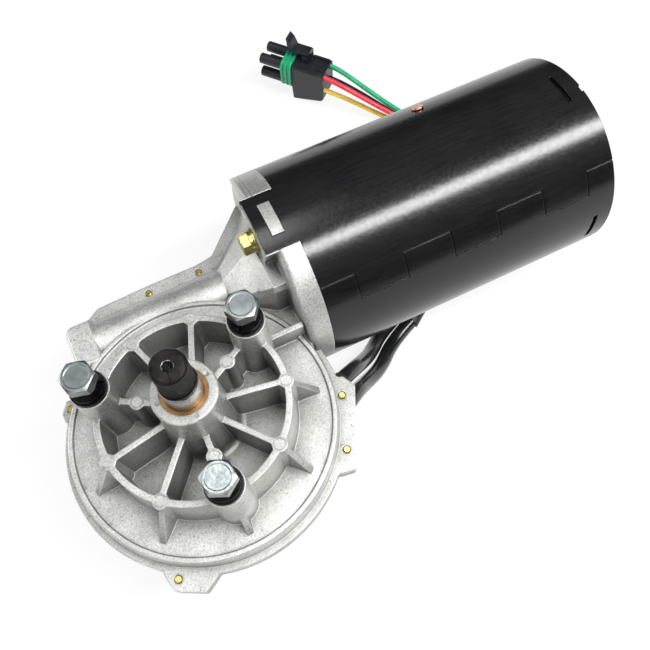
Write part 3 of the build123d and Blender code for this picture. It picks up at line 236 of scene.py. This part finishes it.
finishes = {
    "casting": castAluminium("casting", (0.48, 0.485, 0.46), (0.70, 0.702, 0.68), 0.44, 0.0009),
    "coverCasting": castAluminium("coverCasting", (0.40, 0.40, 0.395), (0.58, 0.58, 0.57), 0.48, 0.0008),
    "enamel": enamelledSteel("enamel"),
    "zinc": platedSteel("zinc", (0.55, 0.56, 0.57), (0.80, 0.81, 0.82), 0.3),
    "yellowZinc": platedSteel("yellowZinc", (0.40, 0.33, 0.10), (0.62, 0.54, 0.24), 0.3),
    "blackOxide": platedSteel("blackOxide", (0.010, 0.010, 0.011), (0.035, 0.035, 0.036), 0.42),
    "shaftSteel": platedSteel("shaftSteel", (0.30, 0.30, 0.30), (0.44, 0.44, 0.44), 0.26, (1, 1, 6)),
    "serratedEnd": platedSteel("serratedEnd", (0.008, 0.008, 0.008), (0.035, 0.034, 0.032), 0.4, (1, 1, 8)),
    "boltZinc": platedSteel("boltZinc", (0.20, 0.225, 0.225), (0.36, 0.39, 0.385), 0.36),
    "bronze": platedSteel("bronze", (0.20, 0.11, 0.045), (0.33, 0.19, 0.08), 0.42),
    "copper": platedSteel("copper", (0.62, 0.30, 0.18), (0.86, 0.48, 0.32), 0.26),
    "brass": platedSteel("brass", (0.62, 0.48, 0.20), (0.82, 0.68, 0.34), 0.32),
    "sheetSteel": platedSteel("sheetSteel", (0.20, 0.20, 0.21), (0.34, 0.34, 0.35), 0.5, (30, 1, 1)),
    "springSteel": platedSteel("springSteel", (0.10, 0.10, 0.12), (0.2, 0.2, 0.22), 0.35),
    "windingCopper": platedSteel("windingCopper", (0.36, 0.14, 0.06), (0.62, 0.28, 0.12), 0.4, (1, 9, 9)),
    "ferrite": mouldedPlastic("ferrite", (0.05, 0.05, 0.055), (0.09, 0.09, 0.095), 0.62),
    "carbon": mouldedPlastic("carbon", (0.02, 0.02, 0.02), (0.045, 0.045, 0.045), 0.55),
    "nylon": mouldedPlastic("nylon", (0.74, 0.71, 0.60), (0.84, 0.81, 0.72), 0.42),
    "laminate": mouldedPlastic("laminate", (0.22, 0.11, 0.05), (0.34, 0.19, 0.09), 0.5),
    "gasket": mouldedPlastic("gasket", (0.16, 0.14, 0.12), (0.26, 0.23, 0.2), 0.8,
                             grainSize=400.0, grainDepth=0.0001),
    "rubber": mouldedPlastic("rubber", (0.012, 0.012, 0.012), (0.03, 0.03, 0.03), 0.6),
    "bootPlastic": mouldedPlastic("bootPlastic", (0.02, 0.02, 0.021), (0.045, 0.045, 0.047), 0.42),
    "shellPlastic": mouldedPlastic("shellPlastic", (0.006, 0.0065, 0.009), (0.014, 0.015, 0.02), 0.34),
    "silicone": mouldedPlastic("silicone", (0.004, 0.26, 0.12), (0.01, 0.36, 0.17), 0.42,
                               grainSize=600.0, grainDepth=0.00004, coat=0.2),
    "sleeve": mouldedPlastic("sleeve", (0.008, 0.009, 0.009), (0.016, 0.017, 0.017), 0.24,
                             grainSize=300.0, grainDepth=0.00005, coat=0.4),
    "greenWire": wireCoat("greenWire", (0.0, 0.32, 0.12), (0.005, 0.42, 0.18)),
    "redWire": wireCoat("redWire", (0.66, 0.02, 0.04), (0.84, 0.05, 0.08)),
    "yellowWire": wireCoat("yellowWire", (0.74, 0.50, 0.06), (0.90, 0.66, 0.12)),
    "navyWire": wireCoat("navyWire", (0.006, 0.007, 0.02), (0.012, 0.014, 0.035)),
}

finishOfNode = {
    "gear_housing": "casting", "rear_cover": "coverCasting", "cover_gasket": "gasket",
    "cover_screws": "yellowZinc", "output_bushes": "bronze", "output_shaft": "shaftSteel",
    "seal_ring": "rubber", "thrust_washer": "shaftSteel", "wheel_hub": "shaftSteel",
    "worm_wheel": "nylon", "park_disc": "copper", "snap_ring": "springSteel",
    "foot_bush": "bronze", "contact_plate": "laminate", "contact_fingers": "copper",
    "armature_shaft": "shaftSteel", "bearing_inner_ring": "shaftSteel",
    "bearing_outer_ring": "shaftSteel", "bearing_balls": "zinc", "bearing_cage": "nylon",
    "worm_bush": "bronze", "thrust_pad": "nylon", "armature_core": "sheetSteel",
    "armature_windings": "windingCopper", "commutator": "copper", "magnets": "ferrite",
    "brush_plate": "laminate", "brush_boxes": "brass", "brushes": "carbon",
    "brush_springs": "springSteel", "motor_tube": "enamel", "tube_rivet": "copper",
    "end_cap": "enamel", "rear_bush": "bronze", "flange_bolts": "yellowZinc",
    "flange_flat_washers": "yellowZinc", "flange_spring_washers": "yellowZinc",
    "mounting_bolts": "zinc", "mounting_flat_washers": "blackOxide",
    "mounting_spring_washers": "blackOxide", "lead_grommets": "rubber",
    "first_sleeve": "sleeve", "second_sleeve": "sleeve", "merge_boot": "bootPlastic",
    "main_sleeve": "sleeve", "end_boot": "bootPlastic", "connector_shell": "shellPlastic",
    "connector_seal": "silicone", "connector_latch": "shellPlastic",
    "connector_terminals": "copper", "wire_green": "greenWire", "wire_red": "redWire",
    "wire_yellow": "yellowWire", "wire_black": "navyWire",
}

for nodeName, finish in finishOfNode.items():
    mesh = nodes[nodeName].data
    mesh.materials.clear()
    mesh.materials.append(finishes[finish])
print("finishes made:", len(finishes))


def meshPiece(name, build, finish):
    # a mesh object whose faces come from build(bm)
    mesh = bpy.data.meshes.new(name)
    bm = bmesh.new()
    build(bm)
    bmesh.ops.remove_doubles(bm, verts=bm.verts, dist=1e-7)
    bmesh.ops.recalc_face_normals(bm, faces=bm.faces)
    bm.to_mesh(mesh)
    bm.free()
    mesh.materials.append(finishes[finish])
    piece = bpy.data.objects.new(name, mesh)
    bpy.context.scene.collection.objects.link(piece)
    return piece


def smoothBy(piece, angle):
    for face in piece.data.polygons:
        face.use_smooth = True
    piece.data.set_sharp_from_angle(angle=math.radians(angle))


def skinOver(bm, rings):
    # faces between neighbouring rings, with a cap on each end
    for low, high in zip(rings, rings[1:]):
        for here in range(len(low)):
            after = (here + 1) % len(low)
            bm.faces.new((low[here], low[after], high[after], high[here]))
    bm.faces.new(rings[0])
    bm.faces.new(rings[-1])


def onRing(radius, degrees, height):
    angle = math.radians(degrees)
    return (radius * math.cos(angle), radius * math.sin(angle), height)


def turn(bm, profile, steps, ridges=0):
    # turns (radius, height, ridge depth) rows about Z; the ridges run round the piece
    rings = []
    for radius, height, depth in profile:
        ring = []
        for step in range(steps):
            wave = abs((step * ridges / steps) % 1.0 - 0.5) * 2 if ridges else 0.0
            ring.append(bm.verts.new(onRing(radius - depth * wave, 360 * step / steps, height)))
        rings.append(ring)
    skinOver(bm, rings)


def cutWith(piece, cutter):
    cut = piece.modifiers.new("cut", "BOOLEAN")
    cut.operation = "DIFFERENCE"
    cut.solver = "EXACT"
    cut.object = cutter
    settle(piece)
    bpy.data.objects.remove(cutter)


def settle(piece):
    # turns the piece's modifiers into plain mesh
    scene = bpy.context.evaluated_depsgraph_get()
    result = bpy.data.meshes.new_from_object(piece.evaluated_get(scene))
    piece.modifiers.clear()
    piece.data = result


outputShaft = {
    "ridges": 54, "ridgeDepth": 0.00034, "steps": 432, "smooth": 24, "margin": 0.0002,
    "endRadius": 0.0075, "endLow": 0.0177, "top": 0.0344, "chamfer": 0.0005,
    # the end's fine steps: a scribed ring on its face, and ridges that fade out at both ends
    "ringInner": 0.0006, "ringOuter": 0.0004, "ringDepth": 0.0002, "faceDrop": 0.0001,
    "fadeStart": 0.0003, "fadeFull": 0.0008, "topFade": 0.4, "lowFade": 0.3, "lowRunOut": 0.0006,
    "holeRadius": 0.0021, "holeDepth": 0.014, "holeChamfer": 0.0003, "drillTip": 0.0005, "drillCone": 0.001,
    "slotWidth": 0.001, "slotDepth": 0.0008, "slotReach": 0.007, "slotAngle": -97.0,
    "radius": 0.0083, "shoulder": 0.0004, "shoulderBevel": 0.0003, "bevelRise": 0.0002,
    "lower": [(0.0083, -0.0129), (0.0078, -0.0129), (0.0078, -0.0151), (0.0083, -0.0151),
              (0.0083, -0.04395), (0.008, -0.04395), (0.008, -0.057), (0.0072, -0.057), (0.0072, -0.0582),
              (0.008, -0.0582), (0.008, -0.0588), (0.006, -0.0588), (0.006, -0.0628), (0.0054, -0.0634)],
}


def shaftProfile(size):
    # (radius, height, ridge depth) rows from the bottom of the centre hole, over the end and down
    depth = size["ridgeDepth"]
    top = size["top"]
    low = size["endLow"]
    hole = size["holeRadius"]
    holeFoot = top - size["holeDepth"]
    end = size["endRadius"]
    face = end - size["chamfer"]
    wall = top - size["chamfer"]
    seat = low - size["shoulder"]
    return [
        (size["drillTip"], holeFoot, 0.0), (hole, holeFoot + size["drillCone"], 0.0),
        (hole, top - size["holeChamfer"], 0.0), (hole + size["holeChamfer"], top, 0.0),
        (face - size["ringInner"], top, 0.0), (face - size["ringOuter"], top - size["ringDepth"], 0.0),
        (face, top - size["faceDrop"], 0.0), (end, wall - size["fadeStart"], depth * size["topFade"]),
        (end, wall - size["fadeFull"], depth), (end, low + size["lowRunOut"], depth),
        (end, low, depth * size["lowFade"]),
        (size["radius"] - size["shoulderBevel"], seat + size["bevelRise"], 0.0),
        (size["radius"], seat - size["bevelRise"], 0.0),
    ] + [(radius, height, 0.0) for radius, height in size["lower"]]


def makeOutputShaft(size):
    profile = shaftProfile(size)
    piece = meshPiece("outputShaft", lambda bm: turn(bm, profile, size["steps"], size["ridges"]),
                      "shaftSteel")

    def slotBlock(bm):
        made = bmesh.ops.create_cube(bm, size=1.0)["verts"]
        for vert in made:
            vert.co.x = size["slotReach"] * (vert.co.x + 0.5)
            vert.co.y *= size["slotWidth"]
            vert.co.z = size["top"] + vert.co.z * 2 * size["slotDepth"]
        bmesh.ops.rotate(bm, verts=made, cent=(0, 0, 0),
                         matrix=Matrix.Rotation(math.radians(size["slotAngle"]), 3, "Z"))

    cutWith(piece, meshPiece("slotCutter", slotBlock, "shaftSteel"))
    # the serrated end is dark, while its centre hole and the shaft below it are bright
    piece.data.materials.append(finishes["serratedEnd"])
    lowest = size["endLow"] - size["margin"]
    innermost = size["holeRadius"] + size["margin"]
    for face in piece.data.polygons:
        middle = face.center
        if middle.z > lowest and math.hypot(middle.x, middle.y) > innermost:
            face.material_index = 1
    smoothBy(piece, size["smooth"])
    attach(piece, "output")
    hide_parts("output_shaft")


def hexHead(bm, size):
    # hex head whose top corners fall away from the chamfer circle, with a dished face
    top = size["head"]
    sixth = math.pi / 3
    fall = math.tan(math.radians(size["chamferAngle"]))
    rings = [[], [], [], [], []]
    for step in range(size["headSteps"]):
        degrees = 360 * step / size["headSteps"]
        side = (math.radians(degrees) + sixth / 2) % sixth - sixth / 2
        edge = size["flats"] / 2 / math.cos(side)
        outline = [(edge, 0.0), (edge, top - (edge - size["chamfer"]) * fall), (size["chamfer"], top),
                   (size["recess"], top), (size["recess"] - size["recessSlope"], top - size["recessDepth"])]
        for ring, (radius, height) in zip(rings, outline):
            ring.append(bm.verts.new(onRing(radius, degrees, height)))
    skinOver(bm, rings)


def threadRows(size):
    # the shank from its tip up to the head's foot, as a crest and a root in each pitch
    radius = size["shank"]
    z = size["tipChamfer"] - size["depth"]
    rows = [(radius - size["tipChamfer"], -size["depth"], 0.0)]
    while z < -size["pitch"]:
        rows += [(radius, z, 0.0), (radius - size["threadDepth"], z + size["pitch"] / 2, 0.0)]
        z += size["pitch"]
    rows.append((radius, 0.0, 0.0))
    return rows


def repeatOnPoints():
    # node tree that sets a blank on every point of a mesh, each turned a little further
    tree = bpy.data.node_groups.new("repeatOnPoints", "GeometryNodeTree")
    face = tree.interface
    face.new_socket("Geometry", in_out="INPUT", socket_type="NodeSocketGeometry")
    face.new_socket("Blank", in_out="INPUT", socket_type="NodeSocketObject")
    face.new_socket("Turn Axis", in_out="INPUT", socket_type="NodeSocketVector")
    face.new_socket("First Turn", in_out="INPUT", socket_type="NodeSocketFloat")
    face.new_socket("Turn Spread", in_out="INPUT", socket_type="NodeSocketFloat")
    face.new_socket("Finish", in_out="INPUT", socket_type="NodeSocketMaterial")
    face.new_socket("Geometry", in_out="OUTPUT", socket_type="NodeSocketGeometry")
    add = tree.nodes.new
    start = add("NodeGroupInput")
    end = add("NodeGroupOutput")
    blank = add("GeometryNodeObjectInfo")
    blank.transform_space = "ORIGINAL"
    chance = add("FunctionNodeRandomValue")
    chance.data_type = "FLOAT"
    chance.inputs["Seed"].default_value = 7
    angle = add("ShaderNodeMath")
    angle.operation = "MULTIPLY_ADD"
    turned = add("FunctionNodeAxisAngleToRotation")
    place = add("GeometryNodeInstanceOnPoints")
    real = add("GeometryNodeRealizeInstances")
    finish = add("GeometryNodeSetMaterial")
    link = tree.links.new
    link(start.outputs["Blank"], blank.inputs["Object"])
    link(chance.outputs["Value"], angle.inputs[0])
    link(start.outputs["Turn Spread"], angle.inputs[1])
    link(start.outputs["First Turn"], angle.inputs[2])
    link(start.outputs["Turn Axis"], turned.inputs["Axis"])
    link(angle.outputs[0], turned.inputs["Angle"])
    link(start.outputs["Geometry"], place.inputs["Points"])
    link(blank.outputs["Geometry"], place.inputs["Instance"])
    link(turned.outputs["Rotation"], place.inputs["Rotation"])
    link(place.outputs["Instances"], real.inputs["Geometry"])
    link(real.outputs["Geometry"], finish.inputs["Geometry"])
    link(start.outputs["Finish"], finish.inputs["Material"])
    link(finish.outputs["Geometry"], end.inputs["Geometry"])
    return tree


repeatTree = repeatOnPoints()


def repeated(name, blank, points, size, finish):
    # one piece made of the blank at every point; the blank itself goes
    mesh = bpy.data.meshes.new(name)
    mesh.from_pydata(points, [], [])
    piece = bpy.data.objects.new(name, mesh)
    bpy.context.scene.collection.objects.link(piece)
    copies = piece.modifiers.new("copies", "NODES")
    copies.node_group = repeatTree
    sockets = {item.name: item.identifier for item in repeatTree.interface.items_tree
               if item.in_out == "INPUT"}
    copies[sockets["Blank"]] = blank
    copies[sockets["Turn Axis"]] = (0, 0, 1)
    copies[sockets["First Turn"]] = math.radians(size["firstTurn"])
    copies[sockets["Turn Spread"]] = math.radians(size["turnSpread"])
    copies[sockets["Finish"]] = finishes[finish]
    settle(piece)
    bpy.data.objects.remove(blank)
    smoothBy(piece, size["smooth"])
    return piece


mountingBolts = {
    "ring": 0.0408, "angles": (30.0, 150.0, 270.0), "firstTurn": 4.0, "turnSpread": 26.0, "smooth": 28,
    "flats": 0.013, "head": 0.0053, "foot": 0.0107, "headSteps": 96, "chamfer": 0.0061, "chamferAngle": 30.0,
    "recess": 0.0052, "recessDepth": 0.00022, "recessSlope": 0.0003,
    "shank": 0.004, "depth": 0.0349, "pitch": 0.00125, "threadDepth": 0.00055, "tipChamfer": 0.0006,
    "shankSteps": 48,
}


def makeMountingBolts(size):
    def build(bm):
        hexHead(bm, size)
        turn(bm, threadRows(size), size["shankSteps"])

    blank = meshPiece("boltBlank", build, "zinc")
    points = [onRing(size["ring"], angle, size["foot"]) for angle in size["angles"]]
    piece = repeated("mountingBolts", blank, points, size, "boltZinc")
    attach(piece, "housing")
    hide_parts("mounting_bolts")


pinMarks = {
    "radius": 0.0029, "rim": 0.00028, "height": 0.00014, "sunk": 0.0001, "padTop": -0.01365,
    "crest": 0.4, "inside": 1.6, "floor": 0.2, "steps": 64, "smooth": 28,
    "rings": [(0.0415, (70.0, 110.0, 190.0, 230.0, 310.0, 350.0)), (0.0244, (30.0, 150.0, 270.0))],
    "endBlock": (-0.0377, 0.0606, -0.0372), "firstTurn": 0.0, "turnSpread": 180.0,
}


def makePinMarks(size):
    # the round witness marks that the die's pins leave on the pads
    rim = size["rim"]
    outer = size["radius"]
    rise = size["height"]
    crest = size["crest"]
    profile = [(outer, -size["sunk"], 0.0), (outer, rise * crest, 0.0), (outer - rim * crest, rise, 0.0),
               (outer - rim, rise, 0.0), (outer - rim * size["inside"], rise * size["floor"], 0.0)]
    blank = meshPiece("markBlank", lambda bm: turn(bm, profile, size["steps"]), "casting")
    points = [size["endBlock"]]
    for ring, angles in size["rings"]:
        points += [onRing(ring, angle, size["padTop"]) for angle in angles]
    piece = repeated("pinMarks", blank, points, size, "casting")
    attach(piece, "housing")


makeOutputShaft(outputShaft)
makeMountingBolts(mountingBolts)
makePinMarks(pinMarks)
print("turned pieces made")


# the leads' points are in millimetres
leads = {
    "firstSleeve": {"node": "first_sleeve", "finish": "sleeve", "slot": "black_sleeve",
                    "radius": 0.0042, "length": 0.0848, "end": "fitting", "with": ["merge_boot"],
                    "points": [(70.2, -1.7, -65.0), (79.6, 2.9, -71.0), (89.0, 9.5, -86.0),
                               (98.5, 17.0, -100.5), (111.8, 28.4, -107.5), (127.6, 34.7, -107.5)]},
    "secondSleeve": {"node": "second_sleeve", "finish": "sleeve", "slot": "black_sleeve",
                     "radius": 0.0042, "length": 0.0922, "end": "fitting", "with": ["merge_boot"],
                     "points": [(66.3, -15.3, -65.0), (74.7, -9.2, -71.0), (84.5, -2.2, -86.5),
                                (99.0, 6.0, -100.5), (115.1, 20.3, -107.5), (130.8, 26.7, -107.5)]},
    "mainSleeve": {"node": "main_sleeve", "finish": "sleeve", "slot": "black_sleeve",
                   "radius": 0.0042, "length": 0.1387, "end": "fitting", "with": ["end_boot"],
                   "points": [(147.7, 38.2, -107.5), (168.1, 46.4, -107.5), (193.0, 57.5, -107.5),
                              (208.0, 82.0, -107.5), (216.5, 106.0, -107.5), (216.8, 127.5, -107.5),
                              (210.2, 141.0, -107.5)]},
    "greenWire": {"node": "wire_green", "finish": "greenWire", "slot": "green_wire",
                  "radius": 0.00165, "length": 0.0764, "end": "connector",
                  "with": ["connector_shell", "connector_seal", "connector_latch", "connector_terminals"],
                  "points": [(206.6, 152.6, -104.1), (202.3, 161.6, -104.1), (193.5, 174.6, -100.5),
                             (183.2, 189.5, -94.5), (171.0, 207.5, -87.0), (166.2, 213.1, -86.8)]},
    "redWire": {"node": "wire_red", "finish": "redWire", "slot": "red_wire",
                "radius": 0.00165, "length": 0.0756, "end": "connector", "with": ["connector_shell"],
                "points": [(203.2, 151.0, -104.1), (198.8, 159.9, -104.1), (187.9, 172.4, -100.0),
                           (175.5, 185.8, -93.5), (162.3, 200.0, -87.0), (157.5, 205.7, -86.8)]},
    "yellowWire": {"node": "wire_yellow", "finish": "yellowWire", "slot": "yellow_wire",
                   "radius": 0.00165, "length": 0.0736, "end": "connector", "with": ["connector_shell"],
                   "points": [(203.2, 151.0, -107.9), (198.8, 159.9, -107.9), (187.0, 174.0, -107.0),
                              (175.5, 187.3, -103.0), (162.3, 200.0, -98.4), (157.5, 205.7, -98.2)]},
    "navyWire": {"node": "wire_black", "finish": "navyWire", "slot": "navy_wire",
                 "radius": 0.00165, "length": 0.0759, "end": "connector", "with": ["connector_shell"],
                 "points": [(206.6, 152.6, -107.9), (202.3, 161.6, -107.9), (194.5, 177.0, -108.5),
                            (184.0, 192.0, -104.0), (171.0, 207.5, -98.4), (166.2, 213.1, -98.2)]},
}


def layLead(name, lead):
    curve = bpy.data.curves.new(name, "CURVE")
    curve.dimensions = "3D"
    curve.bevel_depth = lead["radius"]
    curve.bevel_resolution = 6
    curve.resolution_u = 16
    curve.use_fill_caps = True
    spline = curve.splines.new("NURBS")
    spline.points.add(len(lead["points"]) - 1)
    for point, place in zip(spline.points, lead["points"]):
        point.co = (*[value / 1000 for value in place], 1.0)
    spline.order_u = 3
    spline.use_endpoint_u = True
    curve.materials.append(finishes[lead["finish"]])
    piece = bpy.data.objects.new(name, curve)
    bpy.context.scene.collection.objects.link(piece)
    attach(piece, "housing")
    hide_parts(lead["node"])


for name, lead in leads.items():
    layLead(name, lead)
print("leads laid:", len(leads))


room = {
    "floor": -0.112, "size": 6.0, "floorTone": (0.86, 0.86, 0.86), "whiteShare": 0.85,
    "skyTone": (0.95, 0.97, 1.0, 1.0), "skyLow": 0.15, "skyHigh": 0.85, "horizon": 0.03, "overhead": 0.22,
    "lamps": {
        "strip": {"place": (0.58, -0.315, 0.92), "aim": (0.20, 0.04, -0.02),
                  "size": (1.0, 0.2), "power": 17.0},
        "ceiling": {"place": (0.02, 0.22, 1.1), "aim": (0.02, 0.0, -0.05),
                    "size": (0.5, 0.42), "power": 3.7},
        "window": {"place": (-0.70, 0.50, 0.22), "aim": (0.045, 0.064, -0.03),
                   "size": (0.5, 0.5), "power": 3.2},
        "fill": {"place": (-0.55, -0.65, 0.60), "aim": (0.0, 0.0, -0.05),
                 "size": (0.7, 0.5), "power": 3.2},
    },
}


def whiteToCamera(tree, shader, amount):
    # shows white to the eye and in reflections, and still takes the object's shadow
    path = tree.nodes.new("ShaderNodeLightPath")
    first = tree.nodes.new("ShaderNodeMath")
    first.operation = "MAXIMUM"
    second = tree.nodes.new("ShaderNodeMath")
    second.operation = "MAXIMUM"
    part = tree.nodes.new("ShaderNodeMath")
    part.operation = "MULTIPLY"
    part.inputs[1].default_value = amount
    tree.links.new(path.outputs["Is Camera Ray"], first.inputs[0])
    tree.links.new(path.outputs["Is Glossy Ray"], first.inputs[1])
    tree.links.new(first.outputs[0], second.inputs[0])
    tree.links.new(path.outputs["Is Transmission Ray"], second.inputs[1])
    tree.links.new(second.outputs[0], part.inputs[0])
    glow = tree.nodes.new("ShaderNodeEmission")
    glow.inputs["Strength"].default_value = 1.0
    mix = tree.nodes.new("ShaderNodeMixShader")
    tree.links.new(part.outputs[0], mix.inputs["Fac"])
    tree.links.new(shader, mix.inputs[1])
    tree.links.new(glow.outputs["Emission"], mix.inputs[2])
    return mix.outputs["Shader"]


def layFloor():
    mesh = bpy.data.meshes.new("floor")
    half = room["size"] / 2
    z = room["floor"]
    mesh.from_pydata([(-half, -half, z), (half, -half, z), (half, half, z), (-half, half, z)], [],
                     [(0, 1, 2, 3)])
    floor = bpy.data.objects.new("floor", mesh)
    bpy.context.scene.collection.objects.link(floor)
    material, tree, shader, _ = newFinish("paleFloor", room["floorTone"], roughness=0.8, specular=0.1)
    out = tree.nodes["Material Output"]
    surface = whiteToCamera(tree, shader.outputs["BSDF"], room["whiteShare"])
    tree.links.new(surface, out.inputs["Surface"])
    mesh.materials.append(material)


def hangLamps():
    for name, lamp in room["lamps"].items():
        light = bpy.data.lights.new(name, "AREA")
        light.shape = "RECTANGLE"
        light.size = lamp["size"][0]
        light.size_y = lamp["size"][1]
        light.energy = lamp["power"]
        holder = bpy.data.objects.new(name, light)
        bpy.context.scene.collection.objects.link(holder)
        # the lamp's long side lies along the motor, as its highlight does
        place = Vector(lamp["place"])
        back = (place - Vector(lamp["aim"])).normalized()
        up = back.cross(Vector((1.0, 0.0, 0.0))).normalized()
        turned = Matrix((up.cross(back), up, back)).transposed()
        holder.matrix_world = Matrix.Translation(place) @ turned.to_4x4()
        holder.visible_camera = False


def makeSky():
    # white to the eye, while its light is bright overhead and dim towards the horizon
    world = bpy.data.worlds.new("room")
    bpy.context.scene.world = world
    world.use_nodes = True
    tree = world.node_tree
    glow = tree.nodes["Background"]
    glow.inputs["Color"].default_value = room["skyTone"]
    height = tree.nodes.new("ShaderNodeSeparateXYZ")
    tree.links.new(tree.nodes.new("ShaderNodeTexCoord").outputs["Generated"], height.inputs["Vector"])
    sky = tree.nodes.new("ShaderNodeMapRange")
    sky.interpolation_type = "SMOOTHSTEP"
    sky.inputs["From Min"].default_value = room["skyLow"]
    sky.inputs["From Max"].default_value = room["skyHigh"]
    sky.inputs["To Min"].default_value = room["horizon"]
    sky.inputs["To Max"].default_value = room["overhead"]
    tree.links.new(height.outputs["Z"], sky.inputs["Value"])
    tree.links.new(sky.outputs["Result"], glow.inputs["Strength"])
    out = tree.nodes["World Output"]
    path = tree.nodes.new("ShaderNodeLightPath")
    white = tree.nodes.new("ShaderNodeBackground")
    white.inputs["Color"].default_value = (1.0, 1.0, 1.0, 1.0)
    white.inputs["Strength"].default_value = 1.0
    mix = tree.nodes.new("ShaderNodeMixShader")
    tree.links.new(path.outputs["Is Camera Ray"], mix.inputs["Fac"])
    tree.links.new(glow.outputs["Background"], mix.inputs[1])
    tree.links.new(white.outputs["Background"], mix.inputs[2])
    tree.links.new(mix.outputs["Shader"], out.inputs["Surface"])


layFloor()
hangLamps()
makeSky()
bpy.context.scene.view_settings.view_transform = "Standard"
print("room lit")
